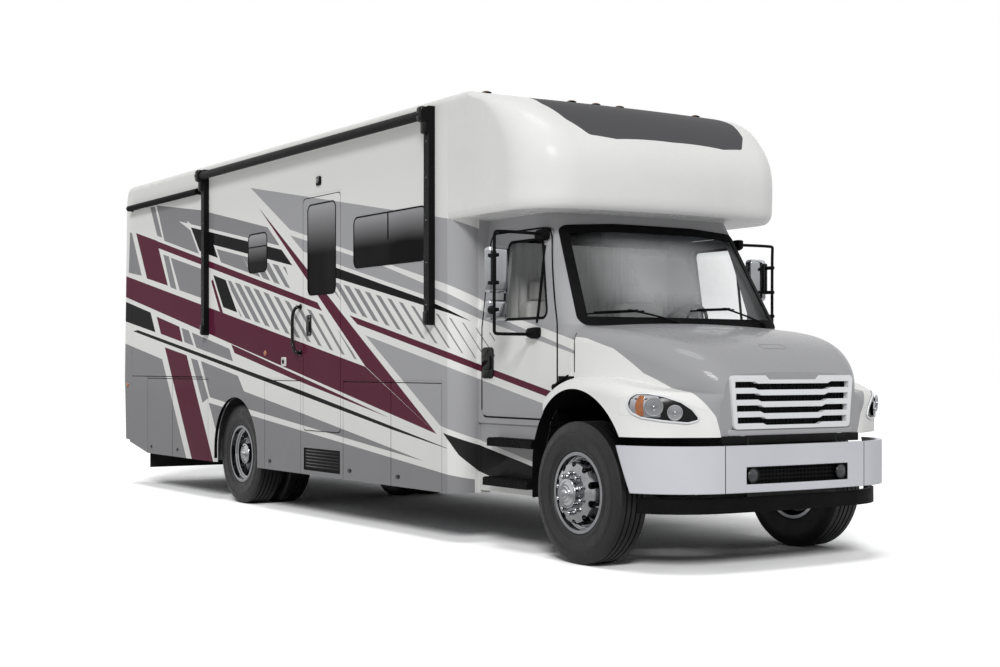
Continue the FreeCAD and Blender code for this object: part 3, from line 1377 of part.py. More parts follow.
def dashboard():
    points = [(behind(DASH_FRONT), DASH_LOW), (behind(DASH_FRONT), DASH_HIGH - STRAP_WIDTH),
              (behind((DASH_FRONT + DASH_BACK) / 2), DASH_HIGH), (behind(DASH_BACK), DASH_HIGH - SEAT_POST),
              (behind(DASH_BACK), DASH_LOW)]
    dash = prism_y(points, -DASH_HALF, DASH_HALF)
    start, way = column_line()
    stub = rod(start, start - way * COLUMN_LENGTH, COLUMN_RADIUS + 2 * RUNNING_GAP + STRAP)
    bore = rod(start + way, start - way * COLUMN_LENGTH / 2, COLUMN_RADIUS + RUNNING_GAP)
    post = block(behind(DASH_BACK), behind(DASH_BACK) + SEAT_POST, -SEAT_POST, SEAT_POST,
                 CAB_FLOOR + CAB_SKIN, DASH_LOW)
    return fused([dash, stub, post]).cut(bore)


def column_line():
    """The near end of the fixed column and its way towards the driver."""
    tilt = math.radians(STEERING_TILT)
    way = V(-math.cos(tilt), 0, math.sin(tilt))
    centre = V(behind(STEERING_SETBACK), SEAT_Y, STEERING_Z)
    return centre - way * (COLUMN_LENGTH / 2), way


def steering_wheel():
    start, way = column_line()
    centre = start + way * (COLUMN_LENGTH / 2)
    hoop = Part.makeTorus(STEERING_RADIUS, STEERING_TUBE, centre, way)
    shaft = rod(start - way * (COLUMN_LENGTH / 2 - RUNNING_GAP - STRAP), centre, COLUMN_RADIUS)
    pieces = [hoop, shaft, rod(centre - way * STEERING_TUBE, centre + way * STEERING_TUBE, SEAT_POST)]
    across = V(0, 1, 0)
    up = way.cross(across)
    for angle in (0, 180, 270):
        turn = math.radians(angle)
        spoke = across * math.cos(turn) + up * math.sin(turn)
        pieces.append(rod(centre, centre + spoke * STEERING_RADIUS, STEERING_TUBE * 0.7))
    return fused(pieces)


def seats():
    """Two cab seats on posts."""
    back = behind(SEAT_BACK)
    half = SEAT_WIDTH / 2
    cushion = pane_box(back, back + SEAT_DEPTH, SEAT_Y - half, SEAT_Y + half, SEAT_HIGH - SEAT_THICK,
                       SEAT_HIGH)
    rest = pane_box(back - SEAT_THICK / 2, back + SEAT_THICK, SEAT_Y - half, SEAT_Y + half,
                    SEAT_HIGH - SEAT_THICK, SEAT_TOP)
    post = block(back + SEAT_POST, back + SEAT_DEPTH - SEAT_POST, SEAT_Y - 2 * SEAT_POST,
                 SEAT_Y + 2 * SEAT_POST, CAB_FLOOR + CAB_SKIN, SEAT_HIGH - SEAT_THICK)
    return both(fused([cushion, rest, post]))


def pane_box(x0, x1, y0, y1, z0, z1):
    """A block with its upright corners rounded."""
    return prism_z([(x0, y0), (x1, y0), (x1, y1), (x0, y1)], z0, z1, SEAT_POST / 2)


def cab_steps():
    """Two treads below each cab door on hangers from the frame."""
    x0 = behind(CAB_STEP_BACK)
    x1 = behind(CAB_STEP_FRONT)
    pieces = []
    inner = CAB_HALF - SEAT_POST
    pieces.append(block(x0, x1, inner, CAB_STEP_REACH, CAB_STEP_HIGH - CAB_STEP_THICK, CAB_STEP_HIGH))
    pieces.append(block(x0, x1, inner, CAB_STEP_LOW_REACH, CAB_STEP_MID - CAB_STEP_THICK, CAB_STEP_MID))
    for x in (x0, x1 - HANGER_WIDTH):
        pieces.append(block(x, x + HANGER_WIDTH, inner - HANGER_THICK, inner,
                            CAB_STEP_MID - CAB_STEP_THICK, CAB_FLOOR))
    return both(fused(pieces))


# Hood group

def hood_loft(inset):
    wires = []
    for place, width, height, shoulder in HOOD_SHARES:
        x = AXLE_X + HOOD_LENGTH * place - inset * max(place, 0)
        high = HOOD_LOW + (HOOD_HIGH - HOOD_LOW) * height - inset
        wires.append(crowned_wire(x, HOOD_HALF * width - inset, HOOD_LOW, high,
                                  HOOD_SHOULDER * shoulder - inset, HOOD_CROWN * width))
    return loft(wires)


def fender_loft(inset):
    wires = []
    for place, width, height in FENDER_SHARES:
        x = AXLE_X + HOOD_LENGTH * place - inset * max(place, 0)
        high = FENDER_LOW + (FENDER_HIGH - FENDER_LOW) * height - inset
        wires.append(crowned_wire(x, FENDER_HALF * width - inset, FENDER_LOW, high,
                                  FENDER_SHOULDER - inset, FENDER_CROWN))
    return loft(wires)


def wheel_arch():
    """The space that the front wheels need under the fenders."""
    centre = V(AXLE_X, -FENDER_HALF - OVERRUN, FENDER_ARCH_HEIGHT)
    across = V(0, 2 * (FENDER_HALF + OVERRUN), 0)
    return rod(centre, centre + across, FENDER_ARCH)


def grille_cutter(grow, x0, x1, drop=0):
    low = GRILLE_LOW - grow - drop
    points = [(-GRILLE_HALF_LOW - grow, low), (GRILLE_HALF_LOW + grow, low),
              (GRILLE_HALF_HIGH + grow, GRILLE_HIGH + grow),
              (-GRILLE_HALF_HIGH - grow, GRILLE_HIGH + grow)]
    plate = prism_x(points, x0, x1, GRILLE_CORNER + grow)
    floor = GRILLE_HIGH - GRILLE_DIP + grow
    lip = GRILLE_HIGH + OVERRUN
    inner = GRILLE_DIP_HALF - grow
    outer = inner + GRILLE_STEP_RUN
    dip = prism_x([(-inner, floor), (inner, floor), (outer, GRILLE_HIGH + grow), (outer, lip),
                   (-outer, lip), (-outer, GRILLE_HIGH + grow)], x0, x1)
    return plate.cut(dip)


def hood_group():
    """The tilting nose: one moulding of hood and fenders, its grille and its headlamps."""
    wide = fender_loft(0)
    core = fender_loft(HOOD_SKIN)
    sunk = core.copy()
    sunk.translate(V(0, 0, -2 * HOOD_SKIN))
    outer = wide.fuse(hood_loft(0))
    shell = outer.cut(hood_loft(HOOD_SKIN)).cut(core).cut(sunk)
    nose = grille_cutter(GLASS_GAP, AXLE_X + HOOD_LENGTH / 2, AXLE_X + HOOD_LENGTH + OVERRUN,
                         HOOD_MOUTH_DROP)
    cuts = [cab_clearance(), nose, wheel_arch(), door_sweep(), lamp_cutter(-1, GLASS_GAP),
            lamp_cutter(1, GLASS_GAP)]
    for cutter in cuts:
        shell = shell.cut(cutter)
    save("hood", biggest(shell))
    skin = wide.cut(core)
    save("headlamps", Part.makeCompound([biggest(skin.common(lamp_cutter(side, 0)))
                                         for side in (-1, 1)]))
    save("grille", grille())


def cab_clearance():
    """The cab's own outline, grown by a door gap, that the hood must leave free."""
    low = FENDER_LOW - OVERRUN
    high = HOOD_HIGH + 2 * OVERRUN
    half = CAB_HALF + DOOR_GAP
    wire = plan_wire(behind(CAB_BACK), behind(CAB_NOSE_LOW) + DOOR_GAP, half, low, CAB_CORNER, CAB_BOW)
    square = block(behind(CAB_BACK), behind(FIREWALL) + DOOR_GAP, -half, half, low, high)
    return slab(wire, V(0, 0, high - low)).fuse(square).removeSplitter()


def door_sweep():
    """Cuts the fenders' rear edge back from the cab doors."""
    far = behind(FENDER_BACK + DOOR_BACK)
    points = [(far, FENDER_LOW - OVERRUN), (behind(FENDER_BACK), FENDER_LOW - OVERRUN),
              (behind(FENDER_BACK), FENDER_SWEEP_LOW), (behind(FIREWALL), FENDER_SWEEP_HIGH),
              (behind(FIREWALL), HOOD_HIGH + OVERRUN), (far, HOOD_HIGH + OVERRUN)]
    return prism_y(points, -FENDER_HALF - OVERRUN, FENDER_HALF + OVERRUN)


def lamp_cutter(side, grow):
    """A slanted prism through the fender's front corner for the headlamp."""
    points = [V(0, 0, LAMP_LOW - grow), V(0, LAMP_OUT - LAMP_IN + grow, LAMP_LOW - grow + LAMP_CORNER),
              V(0, LAMP_OUT - LAMP_IN + grow, LAMP_HIGH - LAMP_CORNER + grow),
              V(0, (LAMP_OUT - LAMP_IN) * 0.75, LAMP_HIGH + grow),
              V(0, -grow, LAMP_LOW + LAMP_CORNER * 2 + grow)]
    wire = rounded(points, LAMP_CORNER / 2)
    prism = slab(wire, V(HOOD_LENGTH / 2, 0, 0))
    prism.translate(V(AXLE_X + HOOD_LENGTH / 2, LAMP_IN, 0))
    return prism if side > 0 else mirrored(prism)


def grille_slot(place, half, x0, x1):
    """One level slot, whose lower edge steps down in the middle. The top one follows the frame's dip."""
    low = GRILLE_LOW + GRILLE_SLOT_START + GRILLE_SLOT_PITCH * place
    high = low + GRILLE_SLOT
    end = GRILLE_HALF_LOW + GRILLE_RIM * place / len(GRILLE_STEP_HALVES) - GRILLE_RIM
    outer = half + GRILLE_STEP_RUN
    floor = low - GRILLE_STEP
    return prism_x([(-end, low), (-outer, low), (-half, floor), (half, floor), (outer, low), (end, low),
                    (end, high), (outer, high), (half, high - GRILLE_STEP), (-half, high - GRILLE_STEP),
                    (-outer, high), (-end, high)], x0, x1)


def grille():
    """A raised frame with level slots, and the arms that carry the hood on its pivots."""
    front = AXLE_X + HOOD_LENGTH + HOOD_SKIN
    back = front - GRILLE_DEPTH
    plate = grille_cutter(0, back, front)
    for i, half in enumerate(GRILLE_STEP_HALVES):
        plate = plate.cut(grille_slot(i, half, back - OVERRUN, front + OVERRUN))
    pieces = [plate]
    pieces.append(hood_arms())
    return fused(pieces)


def hood_arms():
    """Two arms from the grille's foot down to the hood pivots."""
    arms = []
    x = AXLE_X + HOOD_HINGE_X
    top = GRILLE_LOW + GRILLE_RIM / 2
    front = AXLE_X + HOOD_LENGTH + HOOD_SKIN - GRILLE_DEPTH / 2
    for side in (-1, 1):
        y0 = side * HOOD_HINGE_Y
        y1 = side * (HOOD_HINGE_Y + HOOD_ARM_WIDTH)
        arm = prism_y([(x - HOOD_ARM, HOOD_HINGE_Z), (x + HOOD_ARM, HOOD_HINGE_Z), (front, top),
                       (front - GRILLE_DEPTH / 2, top)], y0, y1)
        eye = V(x, y0, HOOD_HINGE_Z)
        across = V(0, y1 - y0, 0)
        arm = arm.fuse(rod(eye, eye + across, HOOD_ARM))
        arms.append(arm.cut(rod(eye - across, eye + across * 2, HOOD_HINGE_RADIUS + RUNNING_GAP)))
    return Part.makeCompound(arms)


# Bumper

def bumper_ring(low, high, inset, skin):
    """A bowed band open at the back."""
    front = AXLE_X + FRONT_OVERHANG
    back = front - BUMPER_RUN
    rings = []
    for shrink in (inset, inset + skin):
        wire = plan_wire(AXLE_X - BUMPER_RUN, front - shrink, BUMPER_HALF - shrink, low,
                         BUMPER_CORNER - shrink, BUMPER_BOW)
        rings.append(slab(wire, V(0, 0, high - low)))
    band = rings[0].cut(rings[1])
    return band.cut(block(AXLE_X - 2 * BUMPER_RUN, back, -BUMPER_HALF - OVERRUN, BUMPER_HALF + OVERRUN,
                          low - OVERRUN, high + OVERRUN))


def front_bumper():
    """Three covers: a centre with an air slot and two wrapped ends."""
    band = bumper_ring(BUMPER_LOW, BUMPER_HIGH, 0, BUMPER_SKIN)
    back = AXLE_X + FRONT_OVERHANG - BUMPER_RUN
    rake = prism_y([(back - OVERRUN, BUMPER_HIGH), (back, BUMPER_HIGH), (back + BUMPER_RAKE, BUMPER_LOW),
                    (back - OVERRUN, BUMPER_LOW)], -BUMPER_HALF - OVERRUN, BUMPER_HALF + OVERRUN)
    band = band.cut(rake)
    middle = block(back, AXLE_X + FRONT_OVERHANG + OVERRUN, -BUMPER_SPLIT, BUMPER_SPLIT,
                   BUMPER_LOW - OVERRUN, BUMPER_HIGH + OVERRUN)
    wide = block(back, AXLE_X + FRONT_OVERHANG + OVERRUN, -BUMPER_SPLIT - SEAM, BUMPER_SPLIT + SEAM,
                 BUMPER_LOW - OVERRUN, BUMPER_HIGH + OVERRUN)
    slot = [(-BUMPER_SLOT_HALF, BUMPER_SLOT_LOW), (BUMPER_SLOT_HALF, BUMPER_SLOT_LOW),
            (BUMPER_SLOT_HALF, BUMPER_SLOT_HIGH), (-BUMPER_SLOT_HALF, BUMPER_SLOT_HIGH)]
    slot_cut = prism_x(slot, back, AXLE_X + FRONT_OVERHANG + OVERRUN, GRILLE_CORNER)
    centre = band.common(middle).cut(slot_cut)
    tip = AXLE_X + HORN_REACH
    for side in (-1, 1):
        centre = centre.fuse(block(tip, AXLE_X + FRONT_OVERHANG - BUMPER_SKIN / 2,
                                   side * (RAIL_HALF - BUMPER_POST), side * RAIL_HALF,
                                   BUMPER_SLOT_HIGH + BUMPER_SKIN, BUMPER_HIGH - BUMPER_SKIN / 2))
    ends = band.cut(wide)
    return Part.makeCompound(centre.removeSplitter().Solids + ends.Solids)


def front_valance():
    """The dark air dam under the bumper, hung from the frame brackets."""
    back = AXLE_X + FRONT_OVERHANG - BUMPER_RUN
    ring = bumper_ring(VALANCE_LOW, HORN_DROP, VALANCE_INSET, BUMPER_SKIN)
    return biggest(ring.cut(block(back - OVERRUN, back + BUMPER_RAKE, -BUMPER_HALF, BUMPER_HALF,
                                  VALANCE_LOW - OVERRUN, HORN_DROP + OVERRUN)))


# Awning, roof, rear

def awning():
    """Roller at the roof edge with its two folded arms down the wall."""
    y = -SIDE - ROLLER_Y
    x0 = behind(AWNING_BACK)
    x1 = behind(AWNING_FRONT)
    high = ROOF_HEIGHT - ROLLER_DROP
    pieces = [rod(V(x0, y, high), V(x1, y, high), ROLLER_RADIUS)]
    for x in (x0, x1):
        pieces.append(block(x - ARM_WIDTH / 2, x + ARM_WIDTH / 2, -SIDE - ARM_DEPTH, -SIDE, ARM_LOW,
                            ROOF_HEIGHT - ARM_TOP_DROP))
        pieces.append(rod(V(x - ARM_WIDTH / 2, y, high), V(x + ARM_WIDTH / 2, y, high), HEAD_RADIUS))
    return fused(pieces)


def roof_units():
    """Two air conditioners and three vents on the roof."""
    solids = []
    base = ROOF_HEIGHT
    for setback in UNIT_SETBACKS:
        solids.append(unit(behind(setback), UNIT_LENGTH, UNIT_WIDTH, UNIT_HEIGHT + ROOF_CROWN, base))
    for setback in VENT_SETBACKS:
        solids.append(unit(behind(setback), VENT_SIZE, VENT_SIZE, VENT_HEIGHT + ROOF_CROWN, base))
    roof = roof_solid(REAR_X, COACH_X, 0, FLOOR_TOP)
    return Part.makeCompound([solid.cut(roof) for solid in solids])


def unit(x, length, width, height, base):
    wires = []
    for rise, share in ((0, 1.0), (height, UNIT_TAPER)):
        a = length / 2 * share
        b = width / 2 * share
        points = [V(x - a, -b, base + rise), V(x + a, -b, base + rise), V(x + a, b, base + rise),
                  V(x - a, b, base + rise)]
        wires.append(rounded(points, VENT_SIZE / 5))
    return loft(wires, True)


def rear_ladder():
    """A tube ladder on the rear wall that turns over onto the roof, on the driver's side."""
    x = REAR_X - LADDER_STANDOFF + LADDER_TUBE
    pieces = []
    top = ROOF_HEIGHT + ROOF_CROWN + LADDER_RISE
    foot = x + REAR_TOP_RUN + LADDER_OVER / 2
    for y in (LADDER_Y - LADDER_WIDTH / 2, LADDER_Y + LADDER_WIDTH / 2):
        rail = [V(x, y, LADDER_LOW), V(x, y, ROOF_HEIGHT - REAR_TOP_DROP),
                V(x + REAR_TOP_RUN / 3, y, top), V(foot, y, top), V(foot, y, ROOF_HEIGHT - WALL)]
        pieces += tube(rail, LADDER_TUBE)
        for z in (LADDER_LOW + LADDER_TUBE * 3, FLOOR_TOP + REAR_TOP_RUN * 2):
            pieces.append(rod(V(x, y, z), V(REAR_X + 3 * REAR_LEAN, y, z), RUNG_RADIUS))
    span = ROOF_HEIGHT - REAR_TOP_DROP - LADDER_LOW - LADDER_TUBE * 6
    for i in range(LADDER_RUNGS):
        z = LADDER_LOW + LADDER_TUBE * 3 + span * i / (LADDER_RUNGS - 1)
        pieces.append(rod(V(x, LADDER_Y - LADDER_WIDTH / 2, z), V(x, LADDER_Y + LADDER_WIDTH / 2, z),
                          RUNG_RADIUS))
    roof = roof_solid(REAR_X + REAR_TOP_RUN, COACH_X, 0, FLOOR_TOP)
    return biggest(fused(pieces).cut(rear_body(0)).cut(roof))


def tail_lamps():
    points = [(TAIL_LAMP_Y - TAIL_LAMP_WIDTH / 2, TAIL_LAMP_LOW),
              (TAIL_LAMP_Y + TAIL_LAMP_WIDTH / 2, TAIL_LAMP_LOW),
              (TAIL_LAMP_Y + TAIL_LAMP_WIDTH / 2, TAIL_LAMP_LOW + TAIL_LAMP_HEIGHT),
              (TAIL_LAMP_Y - TAIL_LAMP_WIDTH / 2, TAIL_LAMP_LOW + TAIL_LAMP_HEIGHT)]
    lamp = prism_x(points, REAR_X - TAIL_LAMP_THICK, REAR_X + 2 * REAR_LEAN, TAIL_LAMP_WIDTH / 4)
    return both(lamp.cut(rear_body(0)))


def rear_guard():
    """A full-width guard hung from the frame behind the rear wheels."""
    x = behind(GUARD_BACK)
    pieces = [block(x, x + GUARD_THICK, -GUARD_HALF, GUARD_HALF, GUARD_LOW, GUARD_HIGH)]
    for side in (-1, 1):
        pieces.append(block(x, x + RISER_THICK, side * (RAIL_HALF - RAIL_THICK),
                            side * (RAIL_HALF - RISER_THICK), GUARD_HIGH - RISER_THICK,
                            RAIL_TOP - RAIL_DEPTH + RAIL_THICK))
    return pieces


CAP_FRONT_X = behind(CAP_FRONT_SETBACK)


def main():
    os.makedirs("parts", exist_ok=True)
    save("frame_rails", frame_rails())
    save("front_axle", front_axle())
    save("rear_axle", rear_axle())
    save("driveline", driveline())
    save("fuel_tank", fuel_tank())
    wheels()
    save("coach_floor", coach_floor())
    save("baggage_trays", baggage_trays())
    save("wall_kerb", coach_wall(-1))
    save("wall_driver", coach_wall(1))
    baggage_doors()
    entry_door()
    save("entry_step", entry_step())
    save("rear_cap", rear_cap())
    save("roof_shell", roof_shell())
    save("front_corners", front_corners())
    save("overhead_cap", overhead_cap())
    save("coach_windows", coach_windows())
    save("slide_kerb", slide_out(-1, KERB_SLIDE_FRONT, KERB_SLIDE_BACK))
    save("slide_driver", slide_out(1, DRIVER_SLIDE_FRONT, DRIVER_SLIDE_BACK))
    save("slide_windows", slide_windows())
    skin = cab_skin(CAB_SKIN)
    pane = cab_pane()
    save("cab_shell", cab_shell(skin))
    save("windshield", biggest(pane.common(shield_cutter(0))))
    cab_doors(skin, pane)
    save("dashboard", dashboard())
    save("steering_wheel", steering_wheel())
    save("seats", seats())
    save("cab_steps", cab_steps())
    hood_group()
    save("front_bumper", front_bumper())
    save("front_valance", front_valance())
    save("awning", awning())
    save("roof_units", roof_units())
    save("rear_ladder", rear_ladder())
    save("tail_lamps", tail_lamps())


main()
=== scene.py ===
import bpy
import bmesh
import math
from functools import partialmethod, reduce
from mathutils import Matrix, Vector
from mathutils.bvhtree import BVHTree


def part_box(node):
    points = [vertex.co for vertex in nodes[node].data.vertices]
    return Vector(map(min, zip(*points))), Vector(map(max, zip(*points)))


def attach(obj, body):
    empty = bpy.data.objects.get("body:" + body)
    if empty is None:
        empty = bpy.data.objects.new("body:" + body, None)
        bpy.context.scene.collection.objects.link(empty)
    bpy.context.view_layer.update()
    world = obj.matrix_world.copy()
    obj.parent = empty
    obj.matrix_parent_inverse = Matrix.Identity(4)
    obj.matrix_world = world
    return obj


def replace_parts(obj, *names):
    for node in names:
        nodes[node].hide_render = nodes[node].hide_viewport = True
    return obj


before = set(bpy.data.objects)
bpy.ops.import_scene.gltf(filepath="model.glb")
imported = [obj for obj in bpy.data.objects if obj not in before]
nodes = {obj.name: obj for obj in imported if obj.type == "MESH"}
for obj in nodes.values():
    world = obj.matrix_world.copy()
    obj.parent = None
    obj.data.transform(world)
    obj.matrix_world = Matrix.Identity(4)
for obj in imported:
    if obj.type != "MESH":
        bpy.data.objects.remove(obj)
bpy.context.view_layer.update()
scene = bpy.context.scene

SIDE = 1.289
SIDES = (("kerb", -1), ("driver", 1))
AXLE_X, REAR_AXLE_X, AXLE_Z = 4.21, -1.83, 0.522
TAU = 2 * math.pi


def camera():
    """The photo's camera, as solved from wheels, ground contacts and pairs."""
    data = bpy.data.cameras.new("camera")
    data.lens = 55.15
    data.sensor_width = 36
    data.shift_y = 0.0335
    data.clip_end = 200
    cam = bpy.data.objects.new("camera", data)
    cam.location = (13.266, -7.699, 1.438)
    cam.rotation_euler = (math.radians(90), 0, math.radians(57.121))
    scene.collection.objects.link(cam)
    scene.camera = cam


def sun(name, toward, strength, spread):
    """A broad soft lamp far away; toward is the way its light travels."""
    data = bpy.data.lights.new(name, "SUN")
    data.energy = strength
    data.angle = math.radians(spread)
    lamp = bpy.data.objects.new(name, data)
    lamp.rotation_euler = Vector(toward).to_track_quat("-Z", "Y").to_euler()
    scene.collection.objects.link(lamp)


def paint(red, green, blue):
    """A colour as the eye names it, 0 to 255, turned into the light it stands for."""
    shares = [part / 255 for part in (red, green, blue)]
    return (*(s / 12.92 if s <= 0.04045 else ((s + 0.055) / 1.055) ** 2.4 for s in shares), 1.0)


class Finish:
    """A material or world under way: each call adds a node and gives back its outlet."""

    def __init__(self, name, owner=None):
        self.material = owner or bpy.data.materials.new(name)
        self.material.use_nodes = True
        self.tree = self.material.node_tree
        self.tree.nodes.clear()
        self.where = None if owner else self.node("TexCoord").outputs["Object"]

    def node(self, kind, *values, **settings):
        made = self.tree.nodes.new("ShaderNode" + kind)
        for key, value in settings.items():
            setattr(made, key, value)
        for value, socket in zip(values, made.inputs):
            self.join(value, socket)
        return made

    def join(self, value, socket):
        """Links or sets a socket; a colour of three numbers is one as the eye names it."""
        if isinstance(value, bpy.types.NodeSocket):
            self.tree.links.new(value, socket)
        elif value is not None:
            named = socket.type == "RGBA" and len(value) == 3
            socket.default_value = paint(*value) if named else value

    def sum(self, operation, *values):
        return self.node("Math", *values, operation=operation).outputs[0]

    def dot(self, vector, direction):
        return self.node("VectorMath", vector, direction, operation="DOT_PRODUCT").outputs["Value"]

    def split(self, vector):
        return self.node("SeparateXYZ", vector).outputs

    def build(self, x, y, z):
        return self.node("CombineXYZ", x, y, z).outputs[0]

    def mix(self, share, below, above):
        made = self.node("Mix", share, data_type="RGBA")
        self.join(below, made.inputs[6])
        self.join(above, made.inputs[7])
        return made.outputs[2]

    def blend(self, share, low, high):
        return self.node("Mix", share, None, low, high, data_type="FLOAT").outputs[0]

    def span(self, value, low, high, to_low=0.0, to_high=1.0):
        return self.node("MapRange", value, low, high, to_low, to_high, clamp=True).outputs[0]

    def noise(self, scale, detail=3.0, roughness=0.55, stretch=None):
        vector = self.where
        if stretch:
            vector = self.node("Mapping", vector, None, None, stretch).outputs[0]
        return self.node("TexNoise", vector, None, scale, detail, roughness).outputs[0]

    def cells(self, scale):
        return self.node("TexVoronoi", self.where, None, scale, feature="F1").outputs["Distance"]

    def patches(self, scale, detail, first, second, low=0.3, high=0.7):
        """Two colours in soft patches."""
        return self.mix(self.span(self.noise(scale, detail), low, high), first, second)

    def wave(self, value, pitch):
        """0 on a stripe's middle, rising to 1 halfway to the next."""
        return self.sum("DIVIDE", self.sum("PINGPONG", value, pitch / 2), pitch / 2)

    def bump(self, height, strength, distance):
        made = self.node("Bump")
        made.inputs["Strength"].default_value = strength
        made.inputs["Distance"].default_value = distance
        self.join(height, made.inputs["Height"])
        return made.outputs[0]

    def facing(self):
        return self.node("TexCoord").outputs["Normal"]

    def shade(self, colour, roughness, normal=None, **fixed):
        shader = self.node("BsdfPrincipled")
        self.join(colour, shader.inputs["Base Color"])
        self.join(roughness, shader.inputs["Roughness"])
        for key, value in fixed.items():
            shader.inputs[key.replace("_", " ")].default_value = value
        self.join(normal, shader.inputs["Normal"])
        return self.output(shader)

    def mixed(self, share, below, above):
        return self.node("MixShader", share, below.outputs[0], above.outputs[0])

    def output(self, shader, kind="OutputMaterial"):
        self.node(kind, shader.outputs[0])
        return self.material


for word, operation in {"times": "MULTIPLY", "plus": "ADD", "minus": "SUBTRACT", "most": "MAXIMUM",
                        "least": "MINIMUM", "size": "ABSOLUTE", "less": "LESS_THAN",
                        "more": "GREATER_THAN"}.items():
    setattr(Finish, word, partialmethod(Finish.sum, operation))

WHITE = (236, 236, 234)
PEARL = (170, 170, 172)
SILVER = (143, 143, 145)
BURGUNDY = (92, 34, 56)
INK = (20, 20, 22)
CABIN = (188, 176, 158)

# The side graphics, as outlines of length along the vehicle and height above the ground.
SILVER_SHAPES = [
    [(-5.037, 3.105), (-4.98, 3.101), (-4.62, 2.54), (-5.081, 2.6)],
    [(-4.328, 3.341), (-4.173, 3.335), (-3.932, 2.952), (-4.092, 2.985)],
    [(-4.112, 3.344), (-2.7, 3.165), (-2.70, 2.64), (-3.834, 2.87)],
    [(-2.72, 3.165), (-1.728, 2.986), (-0.963, 2.845), (-0.702, 2.663), (-0.36, 2.16), (-2.72, 2.64)],
    [(-3.893, 2.751), (-3.716, 2.719), (-3.467, 2.323), (-3.658, 2.359)],
    [(-3.658, 2.702), (-2.664, 2.509), (-2.55, 2.17), (-3.372, 2.312)],
    [(-3.316, 1.883), (-3.094, 1.847), (-2.949, 1.675), (-3.223, 1.719)],
    [(-3.003, 1.825), (-1.938, 1.631), (-1.84, 1.498), (-2.87, 1.654)],
    [(-5.4, 1.759), (-3.932, 1.53), (-3.149, 0.38), (-5.4, 0.38)],
    [(-3.029, 1.537), (-2.834, 1.512), (-2.518, 1.1), (-2.689, 1.044)],
    [(-2.735, 1.505), (-1.712, 1.345), (-1.554, 1.186), (-1.446, 1.0), (-2.473, 1.108)],
    [(-2.3, 1.29), (-1.554, 1.186), (-0.208, 0.999), (0.61, 0.871), (1.604, 0.737), (2.18, 0.651),
     (0.635, 0.805), (-0.434, 0.907), (-2.069, 1.063)],
    [(-2.508, 1.048), (-0.434, 0.845), (1.582, 0.646), (2.993, 0.521), (2.993, 0.3), (-2.0, 0.3)]]
PEARL_SHAPES = [
    [(-1.384, 3.283), (1.405, 2.823), (3.06, 2.567), (3.06, 1.998), (0.585, 2.564), (-0.434, 2.781)],
    [(-0.434, 2.727), (1.45, 2.326), (2.17, 2.134), (3.474, 1.801), (4.369, 1.569), (4.7, 1.468),
     (4.369, 1.544), (3.374, 1.785), (2.2, 2.027), (-0.134, 2.548)],
    [(1.133, 1.722), (4.3, 1.095), (4.3, 0.62), (2.45, 0.955), (1.2, 1.69)],
    [(3.06, 2.001), (3.464, 1.86), (4.054, 1.774), (4.6, 1.62), (5.4, 1.40), (5.4, 3.0), (3.06, 3.0)]]
INK_SHAPES = [
    [(-3.029, 3.003), (-0.631, 2.598), (-0.38, 2.428), (-2.371, 2.762)],
    [(-3.029, 3.003), (-2.371, 2.762), (-2.252, 2.613), (-2.77, 2.72)],
    [(-2.388, 2.437), (-2.036, 2.365), (-1.728, 2.01), (-2.102, 2.077)],
    [(-5.4, 2.285), (-4.316, 2.087), (-4.152, 1.848), (-5.4, 2.032)],
    [(-4.756, 1.887), (-0.208, 1.216), (2.716, 0.752), (1.604, 0.9), (-0.208, 1.175), (-4.928, 1.876)],
    [(-0.037, 2.485), (2.25, 1.99), (2.937, 1.809), (2.25, 1.944), (0.229, 2.322)],
    [(2.487, 0.9), (3.763, 0.68), (4.1, 0.615), (4.1, 0.50), (3.512, 0.50), (3.061, 0.585), (2.74, 0.722)]]
BURGUNDY_SHAPES = [
    [(-4.82, 3.07), (0.169, 2.048), (0.271, 1.965), (-0.208, 2.073), (-4.052, 2.835)],
    [(-4.82, 3.07), (-4.112, 2.929), (-3.744, 2.381), (-4.439, 2.498)],
    [(-5.4, 2.602), (1.133, 1.441), (2.389, 0.886), (1.604, 1.031), (-5.4, 2.343)],
    [(-1.186, 3.066), (2.389, 0.886), (1.133, 1.446)],
    [(-1.889, 1.678), (-1.776, 1.623), (0.635, 1.179), (1.582, 0.997), (-0.434, 1.334), (-1.80, 1.585)],
    [(-2.439, 2.371), (-2.388, 2.389), (-2.102, 2.008), (-2.202, 2.035)],
    [(-4.112, 2.033), (-3.384, 1.898), (-3.279, 1.72), (-3.972, 1.826)],
    [(-3.845, 1.668), (-3.16, 1.571), (-2.36, 0.38), (-2.985, 0.38)],
    [(0.828, 1.909), (4.3, 1.212), (4.3, 1.158), (0.982, 1.823)]]
HATCH_WIDE = [(-1.98, 2.36), (0.2, 1.95), (0.37, 1.96), (1.07, 1.48), (-1.64, 1.96)]
HATCH_FINE = [(0.29, 2.27), (2.6, 1.84), (3.3, 1.70), (3.3, 1.45), (0.86, 1.93)]
STROKE = (0.632, 0.776)


def hull(points):
    """The points of the outline in order, any dent left out."""
    points = sorted(set(points))

    def half(run):
        out = []
        for x, z in run:
            while len(out) > 1 and ((out[-1][0] - out[-2][0]) * (z - out[-2][1])
                                    - (out[-1][1] - out[-2][1]) * (x - out[-2][0])) <= 0:
                out.pop()
            out.append((x, z))
        return out

    low, high = half(points), half(points[::-1])
    return low[:-1] + high[:-1]


def distance(f, plane, points):
    """How far a place lies outside a straight-sided outline; below zero inside."""
    corners = hull(points)
    edges = []
    for (x0, z0), (x1, z1) in zip(corners, corners[1:] + corners[:1]):
        run = math.hypot(x1 - x0, z1 - z0)
        across, up = (z1 - z0) / run, -(x1 - x0) / run
        edges.append(f.dot(plane, (across, -(across * x0 + up * z0), up)))
    return reduce(f.most, edges)


